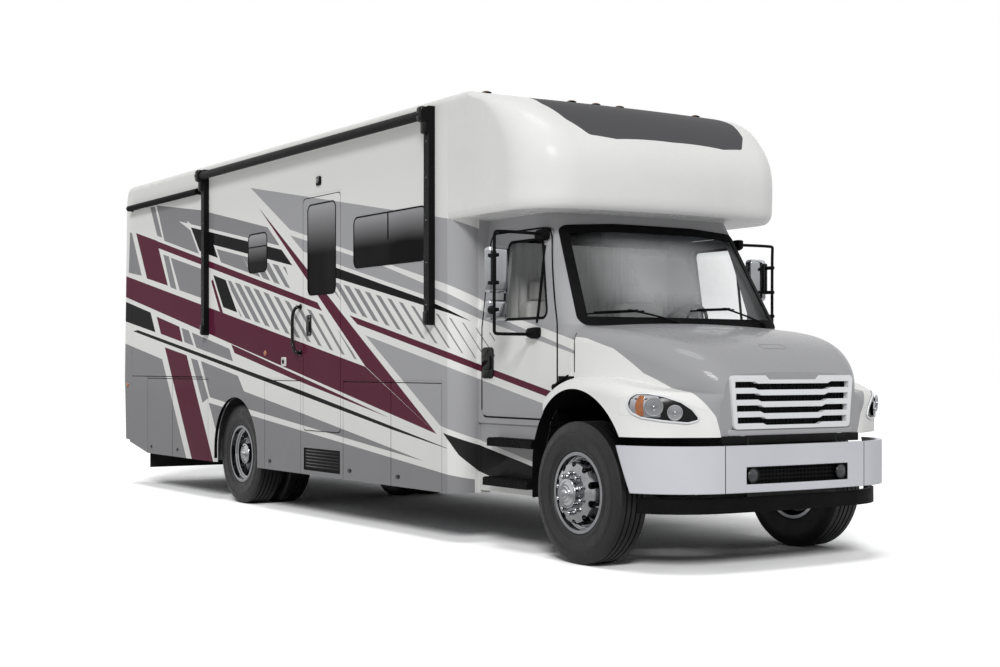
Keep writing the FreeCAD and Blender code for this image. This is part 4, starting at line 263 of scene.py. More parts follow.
def nearest(f, plane, shapes):
    """How far a place lies outside the nearest of some outlines."""
    return reduce(f.least, [distance(f, plane, points) for points in shapes])


def clear_coat(f, colour, rough, coat, gloss):
    """A paint's shine, with a faint ripple in it."""
    return f.shade(colour, rough, f.bump(f.noise(40, 2.0), 0.02, 0.001), Coat_Weight=coat,
                   Coat_Roughness=0.05, Specular_IOR_Level=gloss)


def coach_paint(name="coach_paint", lined=True, lining=None):
    """The body's clear-coated paint: off-white with grey, black and burgundy graphics."""
    f = Finish(name)
    x, y, z = f.split(f.where)
    wide = f.size(y)
    inset = f.least(f.most(f.minus(SIDE, wide), 0.0), 0.35)
    ahead = f.span(x, 2.4, 2.6)
    along = f.sum("MULTIPLY_ADD", f.times(inset, 1.65), ahead, x)
    plane = f.build(along, 1.0, z)
    colour = WHITE

    stroke = f.dot(plane, (STROKE[0], 0.0, STROKE[1]))
    wide_hatch = f.less(distance(f, plane, HATCH_WIDE), 0.0)
    wide_line = f.less(f.wave(stroke, 0.118), f.span(along, -1.7, 1.0, 0.62, 0.22))
    colour = f.mix(f.times(wide_hatch, wide_line), colour, SILVER)
    fine_hatch = f.less(distance(f, plane, HATCH_FINE), 0.0)
    fine_line = f.less(f.wave(stroke, 0.099), f.span(along, 0.6, 2.9, 0.6, 0.12))
    colour = f.mix(f.times(fine_hatch, fine_line), colour, SILVER)

    def lay(shapes, fill, key, colour, broken=False):
        far = nearest(f, plane, shapes)
        colour = f.mix(f.less(far, key), colour, WHITE)
        inside = f.less(far, 0.0)
        if broken:
            share = f.span(along, -2.0, -0.5, 1.2, 0.45)
            solid = f.less(f.wave(stroke, 0.118), share)
            above = f.more(f.dot(plane, (0.1677, 0.0, 1.0)), 2.364)
            below = f.less(f.dot(plane, (0.2, 0.0, 1.0)), 1.75)
            whole = f.most(above, below)
            inside = f.times(inside, f.most(solid, whole))
        return f.mix(inside, colour, fill)

    colour = lay(SILVER_SHAPES, SILVER, 0.0, colour, broken=True)
    colour = lay(PEARL_SHAPES, PEARL, 0.03, colour)
    colour = lay(INK_SHAPES, INK, 0.035, colour)
    colour = lay(BURGUNDY_SHAPES, BURGUNDY, 0.035, colour)
    colour = lay(INK_SHAPES[-1:], INK, 0.0, colour)
    # Darker towards the bottom of the body, in soft grey patches.
    patchy_tone = f.span(z, 0.35, 1.9, 0.34, 0.0)
    colour = f.mix(f.times(f.span(f.noise(3.0, 5.0), 0.2, 0.8, 0.35, 0.65), patchy_tone), colour, (92, 90, 88))
    cloud = f.span(f.noise(0.6, 2.0), 0.3, 0.7, 0.0, 0.01)
    colour = f.mix(cloud, colour, (206, 208, 212))

    def among(value, low, high):
        return f.times(f.more(value, low), f.less(value, high))

    rubber = f.times(among(wide, 1.2515, 1.2855), f.times(among(x, -5.02, 2.5), among(z, 0.45, 3.5)))
    roller = f.more(wide, 1.2905)
    ahead_facing = f.split(f.facing())[0]
    front = f.most(f.more(x, 3.79), f.times(f.more(x, 3.5), f.more(ahead_facing, 0.4)))
    liner = f.times(front, f.less(z, 1.37))
    behind = f.minus(x, AXLE_X)
    over = f.most(f.minus(z, 0.70), 0.0)
    reach = f.sum("SQRT", f.plus(f.times(behind, behind), f.times(over, over)))
    arch = f.times(f.less(reach, 0.606), f.less(wide, 1.155))
    dark = f.most(f.most(rubber, arch), f.most(roller, liner))
    rough = f.span(f.noise(9, 4.0), 0.2, 0.8, 0.24, 0.30)
    if lined:
        inside = f.times(f.less(wide, 1.251), among(x, -5.17, 2.44))
        back = f.times(f.less(x, -4.8), f.less(ahead_facing, -0.3))
        inside = f.times(inside, f.minus(1.0, back))
        cabin = f.times(inside, among(z, 1.25, 3.59))
        first, second = lining or (CABIN, (172, 160, 142))
        colour = f.mix(cabin, colour, f.mix(f.span(f.noise(160, 2.0), 0.35, 0.65), first, second))
        rough = f.blend(cabin, rough, 0.8)
    colour = f.mix(dark, colour, (14, 14, 15))
    rough = f.blend(dark, rough, 0.6)
    return clear_coat(f, colour, rough, 0.12, 0.0)


def hood_paint():
    """The nose: pearl grey on top, white fenders, black inside."""
    f = Finish("hood_paint")
    x, y, z = f.split(f.where)
    wide = f.size(y)
    edges = [(4.016, 1.678), (4.664, 1.502), (4.93, 1.394), (5.117, 1.298), (5.19, 1.201)]
    place = f.build(x, 1.0, z)
    lines = []
    for (x0, z0), (x1, z1) in zip(edges, edges[1:]):
        slope = (z1 - z0) / (x1 - x0)
        lines.append(f.dot(place, (-slope, slope * x0 - z0, 1.0)))
    reach = f.span(z, 0.957, 1.094, 0.66, 0.70)
    for low, high, more in ((1.094, 1.298, 0.16), (1.298, 1.394, 0.07), (1.394, 1.502, 0.04),
                            (1.502, 1.678, 0.06)):
        reach = f.plus(reach, f.span(z, low, high, 0.0, more))
    grey = f.more(f.most(reduce(f.most, lines), f.minus(reach, wide)), 0.0)
    colour = f.mix(grey, WHITE, (160, 160, 162))
    colour = f.mix(f.span(f.noise(0.9, 2.0), 0.3, 0.7, 0.0, 0.03), colour, (196, 198, 202))
    chips = f.times(f.more(f.noise(70, 2.0, 0.6), 0.80), f.span(z, 0.9, 1.4, 1.0, 0.0))
    colour = f.mix(chips, colour, (90, 88, 86))
    middle = f.node("VectorMath", f.where, (4.40, 0.0, 0.95), operation="SUBTRACT").outputs[0]
    inner = f.less(f.dot(f.facing(), middle), 0.0)
    colour = f.mix(inner, colour, (16, 16, 17))
    rough = f.blend(inner, f.span(f.noise(9, 4.0), 0.2, 0.8, 0.24, 0.30), 0.7)
    return clear_coat(f, colour, rough, 0.18, 0.03)


def plain_paint(name, base, tint, rough=(0.25, 0.4), scale=4.0, grain=60, grain_depth=0.001,
                coat=0.1, metal=0.0, wear=None, gloss=0.25, round_edge=0.0, seams=(), mouth=None):
    """Sprayed or moulded finish with slight clouding, a fine skin and optional worn specks."""
    f = Finish(name)
    cloud = f.noise(scale, 4.0)
    colour = f.mix(f.span(cloud, 0.3, 0.7), base, tint)
    if wear:
        speck = f.more(f.noise(26, 5.0, 0.7), 0.66)
        colour = f.mix(speck, colour, wear)
    if seams:
        wide = f.size(f.split(f.where)[1])
        for at in seams:
            line = f.less(f.size(f.minus(wide, at)), 0.0035)
            colour = f.mix(line, colour, (30, 30, 31))
    if mouth:
        x, y, z = f.split(f.where)
        across = f.less(f.size(y), mouth[0])
        within = f.times(f.more(z, mouth[1]), f.less(z, mouth[2]))
        colour = f.mix(f.times(across, within), colour, (10, 10, 11))
    roughness = f.span(f.noise(scale * 3, 5.0), 0.25, 0.75, *rough)
    made = f.bump(f.noise(grain, 4.0), 0.2, grain_depth)
    if round_edge:
        edge = f.node("Bevel", samples=6)
        edge.inputs["Radius"].default_value = round_edge
        f.join(edge.outputs[0], made.node.inputs["Normal"])
    return f.shade(colour, roughness, made, Metallic=metal, Coat_Weight=coat, Coat_Roughness=0.08,
                   Specular_IOR_Level=gloss)


def moulded(name, base=(14, 14, 15), tint=(22, 22, 23), rough=(0.42, 0.6), grain=420,
              depth=0.0006, gloss=0.04):
    """Moulded plastic or rubber with a fine grain."""
    f = Finish(name)
    colour = f.patches(5, 4.0, base, tint)
    skin = f.plus(f.cells(grain), f.times(f.noise(grain / 6, 3.0), 0.6))
    roughness = f.span(f.noise(14, 4.0), 0.3, 0.7, *rough)
    return f.shade(colour, roughness, f.bump(skin, 0.3, depth), Specular_IOR_Level=gloss)


def tyre_rubber():
    """Tyre rubber with some road dust."""
    f = Finish("tyre_rubber")
    colour = f.patches(8, 5.0, (11, 11, 12), (22, 22, 22))
    patchy_tone = f.times(f.noise(40, 4.0), f.span(f.noise(2.5, 3.0), 0.45, 0.7, 0.0, 0.12))
    colour = f.mix(patchy_tone, colour, (76, 73, 69))
    skin = f.plus(f.noise(300, 3.0), f.times(f.noise(60, 3.0), 0.5))
    return f.shade(colour, f.span(f.noise(20, 4.0), 0.3, 0.7, 0.38, 0.55), f.bump(skin, 0.25, 0.0006),
                   Specular_IOR_Level=0.4)


def polished_metal(name, base, tint, rough=(0.12, 0.26), stretch=(6, 120, 6), depth=0.0003,
                   painted_horizon=0.0):
    """Metal with fine machining lines, dulled patches and, where asked, a painted reflection: a dark
    horizon band on upright faces.
    """
    f = Finish(name)
    colour = f.patches(6, 4.0, base, tint)
    if painted_horizon:
        # Painted reflection: faces that stand upright get a dark grey band, as if they mirrored a dark
        # horizon.
        upright = f.split(f.facing())[2]
        near = f.span(f.size(f.minus(upright, -0.12)), 0.05, 0.32, painted_horizon, 0.0)
        colour = f.mix(near, colour, (40, 41, 43))
    lines = f.noise(6, 3.0, stretch=stretch)
    roughness = f.span(f.noise(18, 5.0), 0.3, 0.75, *rough)
    return f.shade(colour, roughness, f.bump(lines, 0.15, depth), Metallic=1.0)


def dark_glass():
    """Tinted coach glass, near black, with a painted sky reflection that pales it towards its head."""
    f = Finish("coach_glass")
    x, y, z = f.split(f.where)
    # Painted reflection: the near-black glass pales to grey towards its head, over a taller span on the
    # tall entry pane, with faint painted streaks.
    high = f.span(z, 2.50, 2.99)
    short = f.span(z, 2.50, 2.81)
    tall = f.less(f.size(f.minus(x, 0.26)), 0.36)
    painted_sky_fade = f.blend(tall, short, high)
    curve = f.sum("POWER", painted_sky_fade, 1.25)
    painted_streak = f.span(f.noise(1.1, 2.0, stretch=(1.0, 1.0, 0.3)), 0.3, 0.7, -0.03, 0.03)
    colour = f.mix(f.plus(curve, painted_streak), (3, 3, 4), (172, 172, 174))
    # Painted reflection: the cap's glass above 3.1 m is an even mid grey.
    colour = f.mix(f.more(z, 3.1), colour, (84, 84, 86))
    smear = f.span(f.noise(14, 4.0), 0.3, 0.7, 0.03, 0.08)
    return f.shade(colour, smear, f.bump(f.noise(1.6, 2.0), 0.02, 0.001), Specular_IOR_Level=0.0,
                   Coat_Weight=0.12, Coat_Roughness=0.04)


def cab_glass():
    """Laminated cab glass: clear at its sides, with a painted reflection, a pale grey veil, in the middle
    of the windshield.
    """
    f = Finish("cab_glass")
    x, y, z = f.split(f.where)
    band = f.span(z, 2.38, 2.48)
    tint = f.mix(band, (0.985, 0.99, 0.99, 1), (0.70, 0.72, 0.74, 1))
    tint = f.mix(f.span(f.noise(2.0, 3.0), 0.3, 0.7, 0.0, 0.03), tint, (0.92, 0.93, 0.94, 1))
    # Painted reflection: a lit pale grey sheet over the middle of the windshield stands in for the
    # reflections on it. It thins towards the sides and top.
    reflection_sheet = f.node("BsdfDiffuse", f.patches(1.2, 3.0, (0.75, 0.76, 0.77, 1), (0.62, 0.63, 0.64, 1)))
    reflection_veil = f.times(f.span(f.size(f.plus(y, 0.05)), 0.25, 0.72, 0.34, 0.03), f.span(z, 1.78, 2.02))
    reflection_veil = f.times(f.times(reflection_veil, f.less(f.size(y), 0.93)), f.span(z, 2.30, 2.46, 1.0, 0.15))
    with_painted_reflection = f.mixed(reflection_veil, f.node("BsdfTransparent", tint), reflection_sheet)
    gloss = f.node("BsdfPrincipled", (0.01, 0.01, 0.01, 1))
    f.join(f.span(f.noise(14, 4.0), 0.3, 0.7, 0.0, 0.04), gloss.inputs["Roughness"])
    edge = f.sum("POWER", f.node("LayerWeight").outputs["Facing"], 4.0)
    return f.output(f.mixed(f.plus(f.times(edge, 0.4), 0.02), with_painted_reflection, gloss))


def lamp_plastic(name, base, tint, clear=0.0, ribs=0.0):
    """A coloured or clear lens with upright ribs."""
    f = Finish(name)
    colour = f.patches(30, 3.0, base, tint)
    x, y, z = f.split(f.where)
    rib = f.wave(f.plus(y, f.times(z, 0.15)), 0.012)
    return f.shade(colour, f.span(f.noise(25, 3.0), 0.3, 0.7, 0.05, 0.14), f.bump(rib, ribs, 0.002),
                   Transmission_Weight=clear, IOR=1.45, Coat_Weight=0.5)


def woven(name, base, tint, pitch=0.0011, rough=(0.7, 0.85), gloss=0.2):
    """Close plain-weave cloth."""
    f = Finish(name)
    x, y, z = f.split(f.where)
    warp = f.wave(x, pitch)
    weft = f.wave(f.plus(y, z), pitch)
    weave = f.times(warp, weft)
    colour = f.mix(f.span(weave, 0.0, 0.8), base, tint)
    colour = f.mix(f.span(f.noise(7, 4.0), 0.35, 0.7, 0.0, 0.25), colour, tint)
    return f.shade(colour, f.span(f.noise(30, 3.0), 0.3, 0.7, *rough), f.bump(weave, 0.4, 0.0006),
                   Sheen_Weight=0.05, Specular_IOR_Level=gloss)


def ribbed_board(name, base, tint, pitch):
    """A board or sheet with lines along it."""
    f = Finish(name)
    colour = f.patches(12, 5.0, base, tint)
    line = f.wave(f.split(f.where)[1], pitch)
    return f.shade(colour, f.span(f.noise(20, 4.0), 0.3, 0.7, 0.55, 0.75),
                   f.bump(f.plus(line, f.noise(80, 3.0)), 0.3, 0.002))


FINISHES = {
    "coach": coach_paint(),
    "shell": coach_paint("shell_paint", lined=False),
    "slide": coach_paint("slide_paint", lining=((214, 214, 212), (206, 206, 204))),
    "hood": hood_paint(),
    "roof": plain_paint("roof_gelcoat", WHITE, (226, 226, 223), grain=90, coat=0.03, gloss=0.06),
    "cap": plain_paint("cap_paint", WHITE, (228, 228, 227), (0.24, 0.3), 1.2, 55, 0.0004, 0.05,
                       gloss=0.08),
    "bumper": plain_paint("bumper_paint", (206, 207, 212), (200, 201, 207), (0.28, 0.38), 1.5, 70, 0.0006,
                          gloss=0.15, round_edge=0.012, seams=(0.67,), mouth=(0.4895, 0.6215, 0.7425)),
    "grey": plain_paint("lip_paint", (172, 172, 174), (166, 166, 169), (0.25, 0.35), 2.0, 70, 0.0005),
    # Painted shade: the mid grey of the shaded walls of the hood's small recess.
    "recess_shade": plain_paint("painted_recess_shade", (112, 112, 114), (126, 126, 128)),
    "grille": plain_paint("grille_paint", (232, 233, 235), (222, 223, 226), (0.16, 0.28), 3.0, 60, 0.0004,
                          0.2, gloss=0.4, round_edge=0.006),
    "black": moulded("black_plastic"),
    "gloss_black": moulded("gloss_black", (6, 6, 7), (11, 11, 12), (0.14, 0.24), 60, 0.0003, 0.25),
    "mesh": moulded("mesh_black", (7, 7, 8), (13, 13, 14), (0.6, 0.8), 60, 0.002, 0.15),
    "seal": moulded("rubber_seal", (11, 11, 12), (19, 19, 20), (0.5, 0.7), 200, 0.0004),
    "frame": plain_paint("frame_paint", (18, 18, 19), (32, 31, 30), (0.45, 0.7), 5, 140, 0.001, 0.0, 0.0,
                         (60, 48, 38)),
    "cast": plain_paint("cast_parts", (34, 34, 35), (50, 48, 46), (0.5, 0.75), 7, 160, 0.002, 0.0, 0.4,
                        (74, 58, 44)),
    "tank": polished_metal("tank_aluminium", (190, 192, 194), (160, 162, 165), (0.25, 0.4)),
    "rim": polished_metal("wheel_aluminium", (166, 167, 169), (138, 139, 142), (0.10, 0.22), (4, 90, 4)),
    "chrome": polished_metal("bright_chrome", (196, 198, 201), (176, 178, 182), (0.04, 0.12),
                             painted_horizon=0.55),
    "tyre": tyre_rubber(),
    "glass": dark_glass(),
    "cab_glass": cab_glass(),
    "floor": ribbed_board("floor_board", (150, 134, 112), (120, 104, 84), 0.09),
    "tray": ribbed_board("tray_metal", (120, 122, 124), (96, 98, 100), 0.12),
    "awning": woven("awning_black", (5, 5, 6), (13, 13, 14), rough=(0.5, 0.65), gloss=0.1),
    "seat": woven("seat_fabric", (214, 213, 210), (230, 229, 226), 0.0016),
    "curtain": woven("curtain_cloth", (226, 226, 224), (238, 238, 236), 0.0013),
    "roof_plastic": moulded("roof_plastic", (222, 222, 219), (206, 206, 202), (0.45, 0.6), 260),
    "ladder": polished_metal("ladder_tube", (200, 202, 204), (170, 172, 175), (0.2, 0.35)),
    "lamp_clear": lamp_plastic("lamp_clear", (0.9, 0.92, 0.93, 1), (0.8, 0.83, 0.85, 1), 0.92),
    "amber": lamp_plastic("lamp_amber", (176, 104, 48), (140, 76, 34), 0.0, 0.6),
    "smoked": moulded("smoked_lens", (30, 31, 33), (58, 60, 63), (0.06, 0.12), 30, 0.0002, 0.6),
    "red": lamp_plastic("tail_red", (150, 14, 18), (110, 8, 12), 0.0, 0.5),
}

NODE_FINISH = {
    "coach": ["wall_kerb", "wall_driver", "rear_cap", "entry_door"],
    "slide": ["slide_kerb", "slide_driver"],
    "shell": ["front_corners", "cab_shell", "cab_door_kerb", "cab_door_driver"]
             + [f"baggage_door_{i}_kerb" for i in range(1, 6)]
             + [f"baggage_door_{i}_driver" for i in (1, 2)],
    "hood": ["hood", "headlamps"], "roof": ["roof_shell"], "cap": ["overhead_cap"],
    "bumper": ["front_bumper"], "grille": ["grille"],
    "black": ["front_valance", "cab_steps", "dashboard", "entry_step", "mirror_kerb",
              "mirror_driver", "steering_wheel"],
    "frame": ["frame_rails"],
    "cast": ["front_axle", "rear_axle", "driveline", "knuckle_kerb", "knuckle_driver"],
    "tank": ["fuel_tank"], "floor": ["coach_floor"], "tray": ["baggage_trays"],
    "glass": ["coach_windows", "entry_glass", "slide_windows"],
    "cab_glass": ["windshield", "cab_glass_kerb", "cab_glass_driver"],
    "seat": ["seats"], "awning": ["awning"], "roof_plastic": ["roof_units"],
    "ladder": ["rear_ladder"], "red": ["tail_lamps"],
    "tyre": ["front_tyre_kerb", "front_tyre_driver", "rear_tyres_kerb", "rear_tyres_driver"],
    "rim": ["front_rim_kerb", "front_rim_driver", "rear_rims_kerb", "rear_rims_driver"],
}


def dress_frame():
    """Gives each CAD node its finish."""
    for finish, names in NODE_FINISH.items():
        for name in names:
            for place in nodes[name].material_slots:
                place.material = FINISHES[finish]


def piece(name, bm, finish, body="coach", angle=35, clean=False):
    """Turns a worked mesh into an object that rides on a body."""
    if clean:
        bmesh.ops.remove_doubles(bm, verts=bm.verts, dist=0.00002)
        bmesh.ops.recalc_face_normals(bm, faces=bm.faces)
    mesh = bpy.data.meshes.new(name)
    bm.to_mesh(mesh)
    bm.free()
    mesh.materials.append(FINISHES[finish])
    mesh.shade_smooth()
    mesh.set_sharp_from_angle(angle=math.radians(angle))
    obj = bpy.data.objects.new(name, mesh)
    scene.collection.objects.link(obj)
    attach(obj, body)
    return obj


def round_off(bm, geom, offset, affect="VERTICES", segments=5, **more):
    """Rounds corners, or edges where affect says so."""
    bmesh.ops.bevel(bm, geom=geom, offset=offset, affect=affect, segments=segments, profile=0.5,
                    material=-1, **more)


def push_out(bm, faces, depth):
    """Gives flat faces a thickness, and gives back the outer ones."""
    grown = bmesh.ops.extrude_face_region(bm, geom=faces, use_keep_orig=True)["geom"]
    moved = [g for g in grown if isinstance(g, bmesh.types.BMVert)]
    bmesh.ops.translate(bm, verts=moved, vec=Vector(depth))
    return [g for g in grown if isinstance(g, bmesh.types.BMFace)]


def keep_band(bm, faces, width):
    """Cuts the inside out of flat faces and gives back the band of a width that is left."""
    band = bmesh.ops.inset_region(bm, faces=faces, thickness=width, use_boundary=True,
                                  use_even_offset=True)["faces"]
    bmesh.ops.delete(bm, geom=faces, context="FACES")
    return band


def once(items):
    """Each item once, in the same order in every run."""
    return list(dict.fromkeys(items))


def brick(bm, low, high, edge=0.0, segments=2):
    """A box between two corners, its edges rounded."""
    low, high = Vector(low), Vector(high)
    size = high - low
    place = Matrix.Translation((low + high) / 2) @ Matrix.Diagonal((*map(abs, size), 1))
    made = bmesh.ops.create_cube(bm, size=1, matrix=place)["verts"]
    if edge:
        round_off(bm, once(e for v in made for e in v.link_edges), edge, "EDGES", segments,
                  clamp_overlap=True)


def disc(bm, centre, axis, radius, depth, sides=24, top=None, edge=0.0):
    """A short round piece, centred, along an axis; top is the far end's radius."""
    turn = Vector(axis).to_track_quat("Z", "Y").to_matrix().to_4x4()
    made = bmesh.ops.create_cone(bm, cap_ends=True, segments=sides, radius1=radius,
                                 radius2=radius if top is None else top, depth=depth,
                                 matrix=Matrix.Translation(centre) @ turn)["verts"]
    if edge:
        rims = [e for e in once(e for v in made for e in v.link_edges) if len(e.link_faces) == 2
                and e.calc_face_angle(0) > 0.8]
        round_off(bm, rims, edge, "EDGES", 2)


def ball(bm, centre, radius, squash=(1, 1, 1), detail=12):
    """A sphere, squashed along each axis by a share."""
    bmesh.ops.create_uvsphere(bm, u_segments=detail * 2, v_segments=detail, radius=radius,
                              matrix=Matrix.Translation(centre) @ Matrix.Diagonal((*squash, 1)))


def tube(bm, points, radius, smooth=False, resolution=2, closed=False):
    """A round bar along points."""
    data = bpy.data.curves.new("run", "CURVE")
    data.dimensions = "3D"
    data.bevel_depth = radius
    data.bevel_resolution = resolution
    data.use_fill_caps = not closed
    line = data.splines.new("NURBS" if smooth else "POLY")
    line.points.add(len(points) - 1)
    for place, at in zip(line.points, points):
        place.co = (*at, 1)
    if smooth:
        line.order_u = 3
        line.use_endpoint_u = True
        line.resolution_u = 6
    line.use_cyclic_u = closed
    obj = bpy.data.objects.new("run", data)
    scene.collection.objects.link(obj)
    mesh = bpy.data.meshes.new_from_object(obj)
    bm.from_mesh(mesh)
    bpy.data.objects.remove(obj)
    bpy.data.curves.remove(data)
    bpy.data.meshes.remove(mesh)


def outline(bm, points, corner, segments):
    """A flat face from corner points in space, its corners rounded."""
    before = set(bm.faces)
    verts = [bm.verts.new(p) for p in points]
    bm.faces.new(verts)
    if corner:
        round_off(bm, verts, corner, segments=segments)
    return [f for f in bm.faces if f not in before]


def plate(bm, points, depth, corner=0.0, edge=0.0):
    """A flat piece from corner points in space, pushed out along depth."""
    caps = push_out(bm, outline(bm, points, corner, 5), depth)
    if edge:
        round_off(bm, once(e for f in caps for e in f.edges), edge, "EDGES", 2)


def ring(bm, points, width, depth):
    """A flat band that follows corner points, its inside cut away, pushed out along depth."""
    push_out(bm, keep_band(bm, outline(bm, points, 0.0, 5), width), depth)


def side_points(x0, x1, z0, z1, y):
    """Corners of an upright rectangle that faces sideways."""
    return [(x0, y, z0), (x1, y, z0), (x1, y, z1), (x0, y, z1)]


def circle(radius, count, middle=(0, 0, 0), flat="yz"):
    """Points round a circle that stands across X, or across Y or Z as flat says."""
    found = []
    for a in range(count):
        u, v = radius * math.cos(a * TAU / count), radius * math.sin(a * TAU / count)
        along = {"yz": (0, u, v), "xz": (u, 0, v), "xy": (u, v, 0)}[flat]
        found.append(tuple(m + d for m, d in zip(middle, along)))
    return found


def gasket(name, node, facing, width, proud, body="coach", part=None):
    """A rubber seal that lies on the rim of a pane and follows its curve."""
    bm = bmesh.new()
    bm.from_mesh(nodes[node].data)
    bmesh.ops.remove_doubles(bm, verts=bm.verts, dist=0.00005)
    facing = Vector(facing)
    away = [f for f in bm.faces if f.normal.dot(facing) < 0.35
            or (part and not part(f.calc_center_median()))]
    bmesh.ops.delete(bm, geom=away, context="FACES")
    bmesh.ops.dissolve_limit(bm, angle_limit=math.radians(0.5), verts=bm.verts, edges=bm.edges)
    push_out(bm, keep_band(bm, bm.faces[:], width), facing * proud)
    piece(name, bm, "seal", body, angle=40, clean=True)


def skin_of(*names, whole=False):
    """The skins of CAD nodes as a target for rays, their openings closed over if whole."""
    bm = bmesh.new()
    for name in names:
        bm.from_mesh(nodes[name].data)
    if whole:
        bmesh.ops.convex_hull(bm, input=bm.verts[:], use_existing_faces=False)
    tree = BVHTree.FromBMesh(bm)
    bm.free()
    return tree


def on_skin(tree, start, toward, lift=0.0):
    """Where a ray meets a skin, lifted off it; its own start where it misses."""
    toward = Vector(toward).normalized()
    hit = tree.ray_cast(Vector(start), toward)
    return (hit[0] if hit[0] else Vector(start)) - toward * lift


def skin_piece(name, points, place, tree, toward, lift, thick, finish, body="coach",
               corner=0.03, band=None, step=0.035):
    """A piece drawn flat, rounded at its corners, then laid on a curved skin."""
    bm = bmesh.new()
    fresh = outline(bm, [place(u, z) for u, z in points], corner, 6)
    if band:
        keep_band(bm, fresh, band)
    us, zs = [u for u, _ in points], [z for _, z in points]
    first = Vector(place(us[0], zs[0]))
    for values, normal in ((us, Vector(place(us[0] + 1, zs[0])) - first),
                           (zs, Vector(place(us[0], zs[0] + 1)) - first)):
        at = min(values) + step
        while at < max(values):
            point = place(at, zs[0]) if values is us else place(us[0], at)
            bmesh.ops.bisect_plane(bm, geom=bm.verts[:] + bm.edges[:] + bm.faces[:], dist=0.00001,
                                   plane_co=point, plane_no=normal)
            at += step
    toward = Vector(toward).normalized()
    for vert in bm.verts:
        vert.co = on_skin(tree, vert.co, toward, lift)
    push_out(bm, bm.faces[:], -toward * thick)
    piece(name, bm, finish, body, clean=True)


LAMP_LINE = [(2.773, 1.187), (2.794, 1.2335), (2.840, 1.260), (2.935, 1.261), (3.042, 1.2415),
             (3.159, 1.202), (3.235, 1.149), (3.279, 1.090), (3.2725, 1.0635), (3.203, 1.044),
             (3.032, 1.060), (2.880, 1.0824), (2.809, 1.114), (2.7805, 1.147)]
LAMP_AMBER = [(2.842, 1.120), (2.838, 1.180), (2.862, 1.240), (2.905, 1.242), (2.893, 1.170),
              (2.903, 1.098), (2.862, 1.100)]
LAMP_BRIGHT = [(2.792, 1.155), (2.806, 1.215), (2.848, 1.246), (3.000, 1.240), (3.020, 1.090),
               (2.905, 1.092), (2.820, 1.118)]


def headlamps():
    """Teardrop lamps: a pale rim, black bowl, amber end and two round lenses each."""
    for hand, side in SIDES:
        tree = skin_of("hood", "headlamps")
        toward = (-0.67, -side * 0.742, 0)

        def place(u, z):
            return (0.67 * 4.4 + 0.742 * u, side * (0.742 * 4.4 - 0.67 * u), z)

        skin_piece(f"lamp_bowl_{hand}", LAMP_LINE, place, tree, toward, 0.001, 0.005, "gloss_black",
                   "hood", corner=0.012)
        skin_piece(f"lamp_rim_{hand}", LAMP_LINE, place, tree, toward, 0.001, 0.012, "grille", "hood",
                   corner=0.012, band=0.012)
        skin_piece(f"lamp_bright_{hand}", LAMP_BRIGHT, place, tree, toward, 0.003, 0.004, "chrome",
                   "hood", corner=0.014)
        skin_piece(f"lamp_amber_{hand}", LAMP_AMBER, place, tree, toward, 0.005, 0.006, "amber", "hood",
                   corner=0.014)
        bright, lens = bmesh.new(), bmesh.new()
        for u, z, radius in ((2.972, 1.163, 0.062), (3.115, 1.123, 0.050)):
            axis = Vector((0.80, side * 0.60, 0.0)).normalized()
            centre = on_skin(tree, place(u, z), toward, 0.015)
            turn = axis.to_track_quat("Z", "Y").to_matrix()
            rim = [centre + turn @ Vector(p) for p in circle(radius, 40, flat="xy")]
            tube(bright, rim, 0.0055, closed=True)
            disc(bright, centre - axis * 0.004, axis, radius * 0.55, 0.012, 32, radius * 0.98)
            for share in (0.34, 0.6, 0.8):
                line = [centre + axis * (0.002 + 0.004 * share) + turn @ Vector(p)
                        for p in circle(radius * share, 32, flat="xy")]
                tube(bright, line, 0.0018, closed=True, resolution=1)
            ball(bright, centre + axis * 0.004, radius * 0.20, detail=8)
            place_lens = (Matrix.Translation(centre - axis * 0.006) @ turn.to_4x4()
                          @ Matrix.Diagonal((1, 1, 0.12, 1)))
            bmesh.ops.create_uvsphere(lens, u_segments=32, v_segments=16, radius=radius * 0.93,
                                      matrix=place_lens)
        piece(f"lamp_reflectors_{hand}", bright, "chrome", "hood")
        piece(f"lamp_lenses_{hand}", lens, "smoked", "hood")


